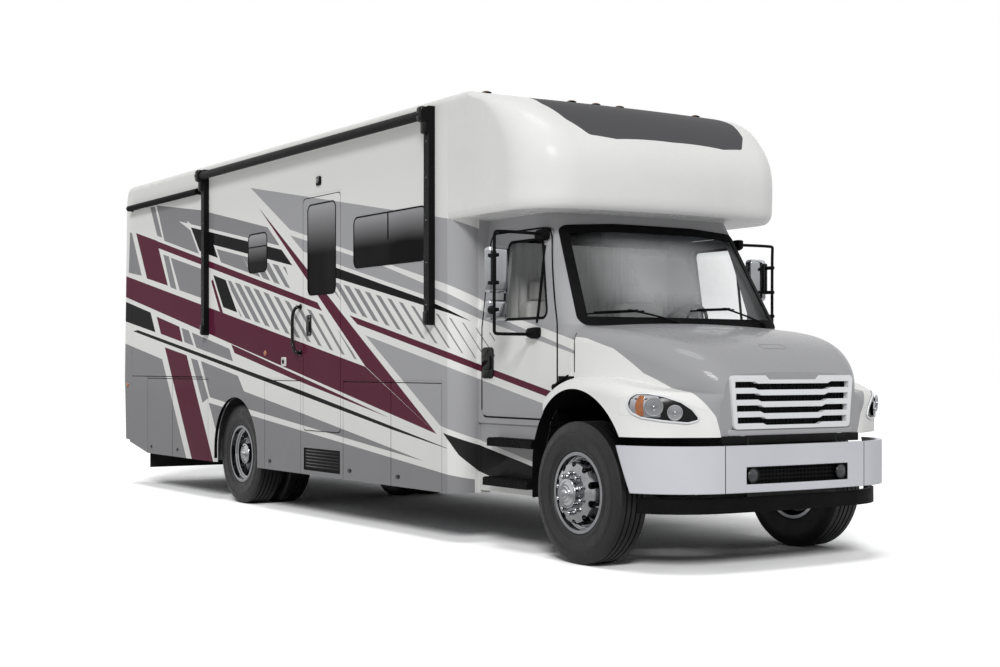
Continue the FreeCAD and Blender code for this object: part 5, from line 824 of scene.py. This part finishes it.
def nose_pieces():
    """Mesh behind the grille and in the bumper, the lip under the grille, and fog lamps."""
    bm = bmesh.new()
    brick(bm, (5.150, -0.583, 1.0), (5.159, 0.583, 1.379), 0.002)
    for k in range(34):
        y = -0.561 + k * 0.034
        brick(bm, (5.157, y - 0.002, 1.01), (5.164, y + 0.002, 1.37))
    piece("grille_mesh", bm, "mesh", "hood", clean=True)
    bm = bmesh.new()
    brick(bm, (5.165, -0.60, 0.956), (5.206, 0.60, 1.001), 0.010, 3)
    piece("grille_lip", bm, "grey", "hood", clean=True)
    bm = bmesh.new()
    brick(bm, (5.150, -0.66, 0.899), (5.209, 0.66, 0.957), 0.006, 2)
    piece("nose_gap", bm, "mesh", "hood", clean=True)
    skin_piece("bumper_mouth", [(-0.512, 0.604), (0.512, 0.604), (0.512, 0.760), (-0.512, 0.760)],
               lambda u, z: (5.6, u, z), skin_of("front_bumper", whole=True), (-1, 0, 0), -0.0028, 0.0026,
               "gloss_black", corner=0.045, band=0.021, step=0.06)
    bm = bmesh.new()
    brick(bm, (5.216, -0.50, 0.610), (5.224, 0.50, 0.752), 0.002)
    for z in (0.652, 0.682, 0.712):
        brick(bm, (5.223, -0.49, z - 0.005), (5.240, 0.49, z + 0.005), 0.002)
    for k in range(29):
        y = -0.476 + k * 0.034
        brick(bm, (5.222, y - 0.002, 0.616), (5.232, y + 0.002, 0.746))
    piece("bumper_mesh", bm, "mesh", clean=True)
    rims, lens = bmesh.new(), bmesh.new()
    for y in (-0.425, 0.425):
        disc(rims, (5.244, y, 0.682), (1, 0, 0), 0.056, 0.030, 32, 0.052, edge=0.004)
        tube(rims, circle(0.050, 36, (5.260, y, 0.682)), 0.005, closed=True)
        ball(lens, (5.258, y, 0.682), 0.047, (0.28, 1, 1))
    # Painted shade: a grey ring, nearly flush with the hood, stands in for the shaded walls of its small
    # oval recess.
    skin_piece("hood_recess", [(-0.112, 4.955), (0.132, 4.955), (0.132, 5.022), (-0.112, 5.022)],
               lambda u, x: (x, u, 2.4), skin_of("hood"), (0, 0, -1), -0.002, 0.003, "recess_shade", "hood",
               corner=0.031, band=0.007)
    piece("fog_rings", rims, "gloss_black")
    piece("fog_lenses", lens, "smoked")


def wipers():
    """Two wipers along the foot of the windshield."""
    tree = skin_of("windshield", "cab_shell")
    forward = (-1, 0, 0)
    blades, arms = bmesh.new(), bmesh.new()
    for ends, joint, pivot in ((((-0.935, 1.836), (-0.40, 1.866)), (-0.535, 1.868), (-0.135, 1.785)),
                               (((0.055, 1.876), (0.535, 1.897)), (0.42, 1.900), (0.80, 1.785))):
        (y0, z0), (y1, z1) = ends
        run = [on_skin(tree, (4.7, y0 + (y1 - y0) * k / 8, z0 + (z1 - z0) * k / 8), forward, 0.010)
               for k in range(9)]
        tube(blades, run, 0.006, smooth=True)
        tube(blades, [p + Vector((0.014, 0, 0.010)) for p in run[1:-1]], 0.0055, smooth=True)
        middle = on_skin(tree, (4.7, *joint), forward, 0.034)
        foot = on_skin(tree, (4.7, *pivot), forward, 0.026)
        tube(arms, [foot + Vector((0.012, 0, -0.004)),
                    foot.lerp(middle, 0.25) + Vector((0.010, 0, 0.004)),
                    foot.lerp(middle, 0.7) + Vector((0.006, 0, 0.006)), middle], 0.0075, smooth=True)
        disc(arms, foot + Vector((0.006, 0, -0.004)), (0.85, 0, 0.5), 0.024, 0.030, 20, 0.018, edge=0.003)
        disc(arms, middle - Vector((0.008, 0, 0)), (0, 1, 0), 0.010, 0.040, 12, edge=0.002)
    piece("wiper_blades", blades, "seal")
    piece("wiper_arms", arms, "black")


def mirrors():
    """Tubular loops with chrome-backed heads behind them, on each cab door."""
    for hand, side in SIDES:
        bm = bmesh.new()

        def at(x, y, z):
            return (x, side * y, z)

        loop = [at(3.482, 0.955, 2.468), at(3.484, 1.20, 2.472), at(3.484, 1.385, 2.472),
                at(3.478, 1.4195, 2.468), at(3.472, 1.4195, 2.42), at(3.47, 1.4195, 2.08),
                at(3.47, 1.4195, 1.74), at(3.474, 1.4195, 1.695), at(3.478, 1.385, 1.690),
                at(3.480, 1.20, 1.690), at(3.480, 1.045, 1.690)]
        tube(bm, loop, 0.0125, smooth=True, resolution=4)
        for z in (1.70, 2.462):
            y = 1.05 if z < 2 else 0.965
            plate(bm, [at(3.405, y, z - 0.020), at(3.50, y, z - 0.048), at(3.56, y, z - 0.030),
                       at(3.56, y, z + 0.045), at(3.43, y, z + 0.038)], (0, side * 0.050, 0), 0.02,
                  edge=0.008)
        for z in (2.29, 2.08, 1.875):
            brick(bm, at(3.395, 1.385, z - 0.014), at(3.492, 1.433, z + 0.014), 0.008, 3)
        frame_piece = piece(f"mirror_loop_{hand}", bm, "black", f"cab_door_{hand}")
        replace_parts(frame_piece, f"mirror_{hand}")
        shell, glass = bmesh.new(), bmesh.new()
        brick(shell, at(3.315, 1.235, 2.005), at(3.405, 1.425, 2.365), 0.034, 6)
        brick(shell, at(3.325, 1.245, 1.795), at(3.400, 1.420, 1.955), 0.030, 6)
        piece(f"mirror_heads_{hand}", shell, "chrome", f"cab_door_{hand}", clean=True)
        pads = bmesh.new()
        brick(pads, at(3.398, 1.366, 2.07), at(3.428, 1.412, 2.33), 0.014, 4)
        disc(pads, at(3.398, 1.39, 1.875), (1, 0, 0), 0.038, 0.028, 24, 0.03, edge=0.004)
        piece(f"mirror_pads_{hand}", pads, "gloss_black", f"cab_door_{hand}")
        for x, y0, y1, z0, z1 in ((3.316, 1.262, 1.40, 2.03, 2.34), (3.326, 1.27, 1.395, 1.82, 1.93)):
            plate(glass, [at(x, y0, z0), at(x, y1, z0), at(x, y1, z1), at(x, y0, z1)],
                  (-0.004, 0, 0), 0.02)
        piece(f"mirror_glass_{hand}", glass, "gloss_black", f"cab_door_{hand}",
              clean=True)


def cab_fittings():
    """Skirt panels, door handles, glass dividers, hood straps and step treads on both sides."""
    for hand, side in SIDES:
        door = f"cab_door_{hand}"
        y = side * 1.05

        def flat(points, at):
            return [(x, side * at, z) for x, z in points]

        bm = bmesh.new()
        skirt = [(2.665, 0.435), (3.615, 0.435), (3.605, 0.56), (3.622, 0.68), (3.665, 0.80),
                 (3.735, 0.92), (3.79, 0.985), (3.79, 1.03), (2.665, 1.03)]
        plate(bm, flat(skirt, 1.016), (0, side * 0.022, 0), 0.012, edge=0.003)
        piece(f"cab_skirt_{hand}", bm, "shell", clean=True)
        bm = bmesh.new()
        plate(bm, side_points(2.722, 2.888, 1.345, 1.597, y), (0, side * 0.010, 0), 0.035, edge=0.004)
        plate(bm, side_points(2.748, 2.862, 1.415, 1.528, y + side * 0.010), (0, side * 0.016, 0), 0.02,
              edge=0.006)
        disc(bm, (2.805, y + side * 0.011, 1.568), (0, side, 0), 0.012, 0.006, 18, edge=0.001)
        piece(f"cab_handle_{hand}", bm, "gloss_black", door, clean=True)
        tree = skin_of(f"cab_glass_{hand}", door)
        bm = bmesh.new()
        run = [on_skin(tree, (3.505, side * 1.6, 1.78 + 0.075 * k), (0, -side, 0), 0.003)
               for k in range(9)]
        tube(bm, run, 0.011, resolution=2)
        piece(f"glass_divider_{hand}", bm, "black", door)
        bm = bmesh.new()
        tube(bm, [(3.730, side * 1.056, 1.285), (3.80, side * 1.062, 1.318), (3.87, side * 1.058, 1.352),
                  (3.925, side * 1.040, 1.378)], 0.011, smooth=True)
        disc(bm, (3.735, side * 1.055, 1.285), (0, side, 0), 0.026, 0.012, 20, 0.022, edge=0.002)
        disc(bm, (3.930, side * 1.040, 1.380), (0, side, 0), 0.024, 0.016, 20, 0.020, edge=0.002)
        piece(f"hood_strap_{hand}", bm, "seal", "hood")
        bm = bmesh.new()
        for top, reach in ((0.870, 1.146), (0.560, 1.186)):
            for k in range(13):
                x = 2.965 + k * 0.0485
                brick(bm, (x - 0.012, side * (reach - 0.19), top - 0.002),
                      (x + 0.012, side * (reach + 0.003), top + 0.008), 0.003)
                brick(bm, (x - 0.014, side * (reach - 0.004), top - 0.046),
                      (x + 0.014, side * (reach + 0.006), top - 0.026), 0.004)
                brick(bm, (x + 0.010, side * (reach - 0.004), top - 0.020),
                      (x + 0.038, side * (reach + 0.006), top - 0.004), 0.004)
        piece(f"step_treads_{hand}", bm, "black")


def curtain_and_seats():
    """The gathered curtain behind the seats, and padded captain's chairs."""
    bm = bmesh.new()
    wide, tall, deep, folds = 1.80, 1.27, 0.014, 20
    x, middle = 2.690, 1.20 + tall / 2
    bmesh.ops.create_grid(bm, x_segments=folds * 8, y_segments=10, size=0.5,
                          matrix=Matrix.Translation((x, 0, middle))
                          @ Matrix.Rotation(math.pi / 2, 4, "Y") @ Matrix.Rotation(math.pi / 2, 4, "Z"))
    for vert in bm.verts:
        y, z = vert.co.y * wide, vert.co.z - middle
        swing = 1 + 0.25 * math.sin(y * 9)
        vert.co = (x + deep * swing * math.sin(y / wide * folds * TAU), y, middle + z * tall)
    top = sorted((v.co.copy() for v in bm.verts if v.co.z > middle + tall / 2 - 0.001),
                 key=lambda p: p.y)
    flat = sum((b - a).length for a, b in zip(top, top[1:]))
    cloth = piece("cab_curtain", bm, "curtain", angle=80, clean=True)
    bm = bmesh.new()
    tube(bm, [(x, -0.93, 2.480), (x, 0.93, 2.480)], 0.010)
    piece("curtain_rail", bm, "black")
    made = []
    for hand, side in SIDES:
        y = side * 0.48
        for part, low, high in (("base", (2.815, y - 0.245, 1.36), (3.255, y + 0.245, 1.50)),
                                ("back", (2.735, y - 0.235, 1.47), (2.880, y + 0.235, 1.985)),
                                ("head", (2.750, y - 0.14, 1.985), (2.860, y + 0.14, 2.145))):
            bm = bmesh.new()
            brick(bm, low, high)
            bmesh.ops.subdivide_edges(bm, edges=bm.edges[:], cuts=9, use_grid_fill=True)
            centre, half = (Vector(low) + Vector(high)) / 2, (Vector(high) - Vector(low)) / 2
            for _ in range(5):
                bmesh.ops.smooth_vert(bm, verts=bm.verts, factor=0.5, use_axis_x=True, use_axis_y=True,
                                      use_axis_z=True)
            for vert in bm.verts:
                off = Vector([(vert.co[i] - centre[i]) / half[i] for i in range(3)])
                thin = 2 if part == "base" else 0
                others = [i for i in range(3) if i != thin]
                swell = (1 - min(1, abs(off[others[0]])) ** 2) * (1 - min(1, abs(off[others[1]])) ** 2)
                vert.co[thin] += math.copysign(0.016, off[thin]) * swell
                if abs(abs(off.y) - 0.55) < 0.06:
                    vert.co[thin] -= math.copysign(0.008, off[thin])
            pad = piece(f"seat_{part}_{hand}", bm, "seat", angle=60, clean=True)
            rounder = pad.modifiers.new("soften", "SUBSURF")
            rounder.levels = rounder.render_levels = 1
            made.append(pad)
        bm = bmesh.new()
        brick(bm, (2.86, y - 0.17, 1.035), (3.16, y + 0.17, 1.20), 0.02, 3)
        brick(bm, (2.90, y - 0.13, 1.19), (3.12, y + 0.13, 1.37), 0.02, 3)
        for edge in (-1, 1):
            tube(bm, [(2.80, y + edge * 0.275, 1.60), (2.95, y + edge * 0.275, 1.615),
                      (3.10, y + edge * 0.275, 1.60)], 0.028, smooth=True)
            disc(bm, (2.84, y + edge * 0.255, 1.60), (0, 1, 0), 0.024, 0.05, 18)
        piece(f"seat_mount_{hand}", bm, "black")
    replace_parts(made[0], "seats")


def wheel_details():
    """Capped nuts and stepped hub covers on every wheel."""
    for hand, side in SIDES:
        for place, x, face, hub, body in (("front", AXLE_X, 1.223, 1.269, "front_wheel"),
                                          ("rear", REAR_AXLE_X, 0.924, 1.158, "rear_wheels")):
            bm = bmesh.new()
            axis = (0, side, 0)
            for i in range(10):
                angle = TAU * (i + 0.5) / 10
                nx, nz = x + 0.14288 * math.cos(angle), AXLE_Z + 0.14288 * math.sin(angle)
                disc(bm, (nx, side * (face + 0.003), nz), axis, 0.023, 0.006, 20)
                disc(bm, (nx, side * (face + 0.018), nz), axis, 0.0175, 0.026, 6, 0.0165, edge=0.0015)
                ball(bm, (nx, side * (face + 0.031), nz), 0.0145, (1, 0.75, 1), detail=6)
            for radius, far, depth, top in ((0.108, hub, 0.008, 0.104),
                                            (0.092, hub + 0.010, 0.018, 0.070),
                                            (0.062, hub + 0.022, 0.012, 0.050),
                                            (0.034, hub + 0.030, 0.010, 0.026)):
                disc(bm, (x, side * far, AXLE_Z), axis, radius, depth, 40, top, edge=0.002)
            piece(f"hub_{place}_{hand}", bm, "chrome", f"{body}_{hand}")


def roof_lights():
    """Five amber clearance lights over the cab and red ones at the rear."""
    tree = skin_of("overhead_cap", "roof_shell", "front_corners", "rear_cap")
    for name, finish, start, toward in (("front", "amber", (2.84, 0, 4.4), (0, 0, -1)),
                                        ("rear", "red", (-6.0, 0, 3.44), (1, 0, 0))):
        base, lens = bmesh.new(), bmesh.new()
        for y in (-1.09, -0.25, 0.0, 0.25, 1.09):
            spot = on_skin(tree, (start[0], y, start[2]), toward)
            thin, tall = (0.012, 0.030) if name == "rear" else (0.046, 0.010)
            for made, swell in ((base, 1.0), (lens, 0.8)):
                size = (thin * (1.5 if swell < 1 and name == "rear" else swell), 0.030 * swell + 0.012,
                        tall * (1.6 if swell < 1 and name == "front" else swell))
                bmesh.ops.create_uvsphere(made, u_segments=24, v_segments=12, radius=1,
                                          matrix=Matrix.Translation(spot) @ Matrix.Diagonal((*size, 1)))
        piece(f"roof_light_bases_{name}", base, "black")
        piece(f"roof_lights_{name}", lens, finish)


def rear_details():
    """Round lenses with bright rims in the tail lamps."""
    rims = bmesh.new()
    lenses = {"red": bmesh.new(), "amber": bmesh.new(), "lamp_clear": bmesh.new()}
    for side in (-1, 1):
        for z, finish in ((1.68, "red"), (1.51, "amber"), (1.34, "lamp_clear")):
            tube(rims, circle(0.058, 32, (-5.249, side * 1.08, z)), 0.006, closed=True)
            ball(lenses[finish], (-5.246, side * 1.08, z), 0.052, (0.28, 1, 1))
    piece("tail_rims", rims, "chrome")
    for finish, bm in lenses.items():
        piece(f"tail_lens_{finish}", bm, finish)


def grab_rail():
    """The rail beside the entry door, and the slats on the pull-out step."""
    y = -SIDE
    bm = bmesh.new()
    run = [(-0.190, y + 0.002, 2.018), (-0.190, y - 0.030, 2.018), (-0.200, y - 0.055, 2.005),
           (-0.238, y - 0.062, 1.960), (-0.250, y - 0.062, 1.90), (-0.252, y - 0.062, 1.80),
           (-0.250, y - 0.062, 1.70), (-0.238, y - 0.062, 1.632), (-0.200, y - 0.055, 1.586),
           (-0.190, y - 0.030, 1.573), (-0.190, y + 0.002, 1.573)]
    tube(bm, run, 0.016, smooth=True, resolution=4)
    for z in (2.018, 1.573):
        disc(bm, (-0.190, y - 0.004, z), (0, -1, 0), 0.030, 0.008, 24, edge=0.002)
    piece("grab_rail", bm, "gloss_black")
    bm = bmesh.new()
    for k in range(6):
        z = 0.490 + 0.030 * k
        brick(bm, (-0.105, -1.2845, z - 0.006), (0.615, -1.277, z + 0.006), 0.002)
    piece("step_slats", bm, "gloss_black", "entry_step")


def door_lines():
    """Black rubber lines in the gaps round the entry, baggage and cab doors."""
    for hand, side in SIDES:
        y = side * (SIDE + 0.0001)
        rows = [(f"baggage_door_{i}_{hand}", 0.007) for i in range(1, 6)]
        if side < 0:
            rows.append(("entry_door", 0.012))
        for name, gap in rows:
            if name not in nodes:
                continue
            low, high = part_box(name)
            bm = bmesh.new()
            reach = gap + 0.001
            ring(bm, side_points(low.x - reach, high.x + reach, low.z - reach, high.z + reach, y), gap,
                 (0, side * 0.0012, 0))
            piece(f"gap_line_{name}", bm, "seal", clean=True)
        door = skin_of(f"cab_door_{hand}")
        bm = bmesh.new()
        low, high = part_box(f"cab_door_{hand}")
        heights = [low.z + 0.01 + (high.z - low.z - 0.02) * k / 24 for k in range(25)]
        lengths = [low.x + 0.03 + (high.x - low.x - 0.06) * k / 24 for k in range(25)]
        for run in (edge_scan(door, side, heights, high.x + 0.01, high.x - 0.55, True),
                    edge_scan(door, side, heights, low.x - 0.01, low.x + 0.3, True),
                    edge_scan(door, side, lengths, low.z - 0.01, low.z + 0.3, False),
                    edge_scan(door, side, lengths, high.z + 0.01, high.z - 0.6, False)):
            if len(run) > 2:
                tube(bm, run, 0.0055, resolution=1)
        piece(f"cab_door_line_{hand}", bm, "seal")
        tree = skin_of("cab_shell", f"cab_door_{hand}", "hood")
        bm = bmesh.new()
        run = [tree.ray_cast(Vector((3.975, side * 1.7, z)), Vector((0, -side, 0)))[0]
               for z in (1.40, 1.45, 1.5, 1.55, 1.6, 1.65, 1.69)]
        tube(bm, [h for h in run if h and abs(h.y) > 0.85], 0.004, resolution=1)
        piece(f"cowl_line_{hand}", bm, "seal")


def awning_fittings():
    """Bracket covers and screw heads on the awning's arms."""
    covers, screws = bmesh.new(), bmesh.new()
    for x in (-2.542, 2.32):
        brick(covers, (x - 0.052, -1.424, 3.455), (x + 0.036, -1.300, 3.588), 0.030, 5)
        brick(covers, (x - 0.034, -1.392, 3.36), (x + 0.030, -1.300, 3.50), 0.018, 4)
        brick(covers, (x - 0.030, -1.372, 1.79), (x + 0.030, -1.300, 1.90), 0.014, 3)
        for z in (1.83, 1.95, 2.30, 2.65, 3.0, 3.3):
            disc(screws, (x + 0.010, -1.352, z), (0, -1, 0), 0.007, 0.012, 12, 0.005)
            disc(screws, (x - 0.016, -1.352, z + 0.05), (0, -1, 0), 0.005, 0.012, 12, 0.004)
    piece("awning_covers", covers, "gloss_black")
    piece("awning_screws", screws, "chrome")


def wheel_aprons():
    """Curved black splash walls behind the front wheels, from the skirt up under the fender."""
    for hand, side in SIDES:
        bm = bmesh.new()
        line = [(3.603, 0.445), (3.603, 0.575)]
        line += [(AXLE_X - 0.607 * math.cos(math.radians(a)), 0.70 + 0.607 * math.sin(math.radians(a)))
                 for a in range(0, 76, 5)]
        rows = [[bm.verts.new((x, side * y, z)) for x, z in line] for y in (1.160, 1.145, 0.72)]
        for near, far in zip(rows, rows[1:]):
            for k in range(len(line) - 1):
                bm.faces.new((near[k], near[k + 1], far[k + 1], far[k]))
        bmesh.ops.solidify(bm, geom=bm.faces[:], thickness=0.006)
        piece(f"wheel_apron_{hand}", bm, "black", clean=True)


def edge_scan(tree, side, values, start, end, upright):
    """The outline of a door seen from its side: for each value, the first point that it has."""
    found = []
    count = int(abs(end - start) / 0.003)
    for value in values:
        for k in range(count):
            at = start + (end - start) * k / count
            x, z = (at, value) if upright else (value, at)
            hit = tree.ray_cast(Vector((x, side * 1.7, z)), Vector((0, -side, 0)))[0]
            if hit and abs(hit.y) > 0.8:
                found.append(hit + Vector((0, side * 0.001, 0)))
                break
    return found


def tyre(radius=0.5215, width=0.278, bead=0.2995, seat=0.112):
    """A spun carcass with four tread grooves."""
    bm = bmesh.new()
    half = width / 2
    wall = [(-seat, bead), (-seat - 0.012, bead + 0.010), (-half * 0.93, bead + 0.045),
            (-half, radius - 0.115), (-half * 0.985, radius - 0.070), (-half * 0.93, radius - 0.030),
            (-half * 0.84, radius - 0.008), (-half * 0.80, radius - 0.001)]
    grooves = []
    for middle in (-0.066, -0.022, 0.022, 0.066):
        grooves += [(middle - 0.0065, radius), (middle - 0.0045, radius - 0.013),
                    (middle + 0.0045, radius - 0.013), (middle + 0.0065, radius)]
    section = wall + grooves + [(-d, r) for d, r in reversed(wall)]
    verts = [bm.verts.new((0, d, r)) for d, r in section]
    edges = [bm.edges.new(pair) for pair in zip(verts, verts[1:])]
    edges.append(bm.edges.new((verts[-1], verts[0])))
    bmesh.ops.spin(bm, geom=verts + edges, cent=(0, 0, 0), axis=(0, 1, 0), angle=TAU, steps=96,
                   use_merge=True)
    bmesh.ops.remove_doubles(bm, verts=bm.verts, dist=0.0004)
    return bm


def make_tyre(name, node, centres, side, body):
    """Tyres on one body, each with raised rings on its outer wall."""
    bm = bmesh.new()
    for centre in centres:
        part = tyre()
        for radius, out in ((0.335, 0.12786143), (0.352, 0.13047339), (0.43, 0.13790333),
                            (0.447, 0.13711)):
            tube(part, circle(radius, 48, (0, side * out, 0), "xz"), 0.0022, closed=True, resolution=1)
        bmesh.ops.translate(part, verts=part.verts, vec=centre)
        mesh = bpy.data.meshes.new("part")
        part.to_mesh(mesh)
        part.free()
        bm.from_mesh(mesh)
        bpy.data.meshes.remove(mesh)
    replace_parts(piece(name, bm, "tyre", body, angle=28, clean=True), node)


def window_frames():
    """Rubber seals round the panes, and the bars between sliding panes."""
    for hand, side in SIDES:
        gasket(f"glass_seal_{hand}", "coach_windows", (0, side, 0), 0.012, 0.0036, "coach", part=lambda c,
               s=side: c.y * s > 1.0)
        gasket(f"cab_glass_seal_{hand}", f"cab_glass_{hand}", (0, side, 0), 0.022, 0.006,
               f"cab_door_{hand}")
    gasket("rear_glass_seal", "coach_windows", (-1, 0, 0), 0.014, 0.004, "coach", part=lambda c: c.x < -5)
    shield_line = [(-0.955, 1.752), (0.955, 1.752), (0.985, 1.80), (0.885, 2.505), (0.84, 2.540),
                   (0.40, 2.566), (-0.40, 2.566), (-0.84, 2.540), (-0.885, 2.505), (-0.985, 1.80)]
    skin_piece("shield_seal", shield_line, lambda u, z: (4.6, u, z), skin_of("windshield", "cab_shell"),
               (-1, 0, 0), 0.002, 0.012, "seal", corner=0.022, band=0.066, step=0.05)
    gasket("entry_glass_seal", "entry_glass", (0, -1, 0), 0.012, 0.0036, "entry_door")
    gasket("slide_glass_seal", "slide_windows", (0, 1, 0), 0.014, 0.0036, "slide_driver")
    bm = bmesh.new()
    y = -SIDE
    brick(bm, (1.548, y - 0.0035, 2.545), (1.566, y + 0.004, 2.785), 0.001)
    brick(bm, (-1.44, y - 0.003, 2.660), (-0.975, y + 0.004, 2.671), 0.001)
    piece("window_bars", bm, "seal", clean=True)


def entry_fittings():
    """Lock, porch lamp, side markers and the outlet beside the entry."""
    y = -SIDE
    bm = bmesh.new()
    plate(bm, side_points(-0.055, 0.045, 1.735, 1.935, y), (0, -0.009, 0), 0.022, edge=0.003)
    plate(bm, side_points(-0.036, 0.026, 1.775, 1.870, y - 0.009), (0, -0.012, 0), 0.012, edge=0.004)
    disc(bm, (-0.006, y - 0.012, 1.905), (0, -1, 0), 0.011, 0.008, 20, edge=0.001)
    piece("entry_lock", bm, "gloss_black", "entry_door", clean=True)
    bm = bmesh.new()
    for z in (1.760, 1.912):
        disc(bm, (0.028, y - 0.011, z), (0, -1, 0), 0.005, 0.004, 12, edge=0.0006)
    piece("entry_lock_screws", bm, "chrome", "entry_door", clean=True)
    bm = bmesh.new()
    plate(bm, side_points(0.165, 0.255, 3.150, 3.235, y), (0, -0.016, 0), 0.016, edge=0.004)
    piece("porch_lamp", bm, "black", clean=True)
    bm = bmesh.new()
    plate(bm, side_points(0.182, 0.238, 3.172, 3.224, y - 0.016), (0, -0.008, 0), 0.012, edge=0.003)
    piece("porch_lens", bm, "lamp_clear", clean=True)
    bm = bmesh.new()
    for at, z in ((-1.01, 1.576), (-5.11, 1.216)):
        disc(bm, (at, y - 0.004, z), (0, -1, 0), 0.030, 0.008, 28, 0.028, edge=0.001)
        ball(bm, (at, y - 0.008, z), 0.024, (1, 0.35, 1))
    piece("side_markers", bm, "amber", clean=True)
    bm = bmesh.new()
    plate(bm, side_points(-0.62, -0.52, 1.445, 1.535, y), (0, -0.010, 0), 0.012, edge=0.003)
    piece("side_outlet", bm, "roof_plastic", clean=True)
    bm = bmesh.new()
    disc(bm, (-0.57, y - 0.012, 1.49), (0, -1, 0), 0.022, 0.006, 20, edge=0.001)
    piece("outlet_socket", bm, "black", clean=True)


def latches():
    """Small oval paddle latches at each baggage door's lower rear corner."""
    for hand, side in SIDES:
        for i in range(1, 6):
            name = f"baggage_door_{i}_{hand}"
            if name not in nodes:
                continue
            low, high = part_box(name)
            y = side * SIDE
            bm = bmesh.new()
            x, z = low.x + (high.x - low.x) * 0.14, low.z + 0.085
            plate(bm, side_points(x - 0.034, x + 0.034, z - 0.016, z + 0.016, y), (0, side * 0.007, 0),
                  0.0155, edge=0.002)
            disc(bm, (x + 0.013, y + side * 0.008, z), (0, side, 0), 0.007, 0.004, 14, edge=0.0008)
            piece(f"latch_{i}_{hand}", bm, "gloss_black", name, clean=True)


def tyres():
    """A piece for each front tyre and each rear pair."""
    for hand, side in SIDES:
        make_tyre(f"tread_front_{hand}", f"front_tyre_{hand}", [(AXLE_X, side * 1.055, AXLE_Z)], side,
                  f"front_wheel_{hand}")
        make_tyre(f"tread_rear_{hand}", f"rear_tyres_{hand}",
                  [(REAR_AXLE_X, side * y, AXLE_Z) for y in (1.08, 0.74)], side, f"rear_wheels_{hand}")


def studio():
    """A pale floor and world, and two broad suns."""
    f = Finish("studio_floor")
    colour = f.mix(f.span(f.noise(3.0, 3.0), 0.3, 0.7, 0.0, 0.01), (0.90, 0.90, 0.90, 1),
                   (0.88, 0.88, 0.88, 1))
    seen = f.node("LightPath").outputs["Is Camera Ray"]
    f.output(f.node("BsdfDiffuse", f.mix(seen, colour, (1.55, 1.55, 1.55, 1))))
    bm = bmesh.new()
    bmesh.ops.create_grid(bm, x_segments=1, y_segments=1, size=90)
    mesh = bpy.data.meshes.new("studio_floor")
    bm.to_mesh(mesh)
    bm.free()
    mesh.materials.append(f.material)
    ground = bpy.data.objects.new("studio_floor", mesh)
    scene.collection.objects.link(ground)
    scene.world = bpy.data.worlds.new("studio")
    w = Finish("studio", scene.world)
    path = w.node("LightPath").outputs
    direct = w.plus(path["Is Camera Ray"], path["Is Glossy Ray"])
    seen = w.node("Math", direct, path["Is Transmission Ray"], operation="ADD", use_clamp=True)
    plain = w.node("Background", (0.98, 0.99, 1.0, 1), 0.2)
    white = w.node("Background", (1, 1, 1, 1), 1.0)
    w.output(w.mixed(seen.outputs[0], plain, white), "OutputWorld")
    sun("overhead", (-0.12, 0.16, -1.0), 0.9, 22)
    sun("kerb_side", (-0.68, 0.51, -0.53), 1.75, 16)


for step in (camera, dress_frame, window_frames, entry_fittings, grab_rail, latches, headlamps,
             nose_pieces, wipers, mirrors, cab_fittings, curtain_and_seats,
             wheel_details, roof_lights, rear_details, door_lines, awning_fittings,
             wheel_aprons, tyres, studio):
    step()
scene.view_settings.view_transform = "Standard"
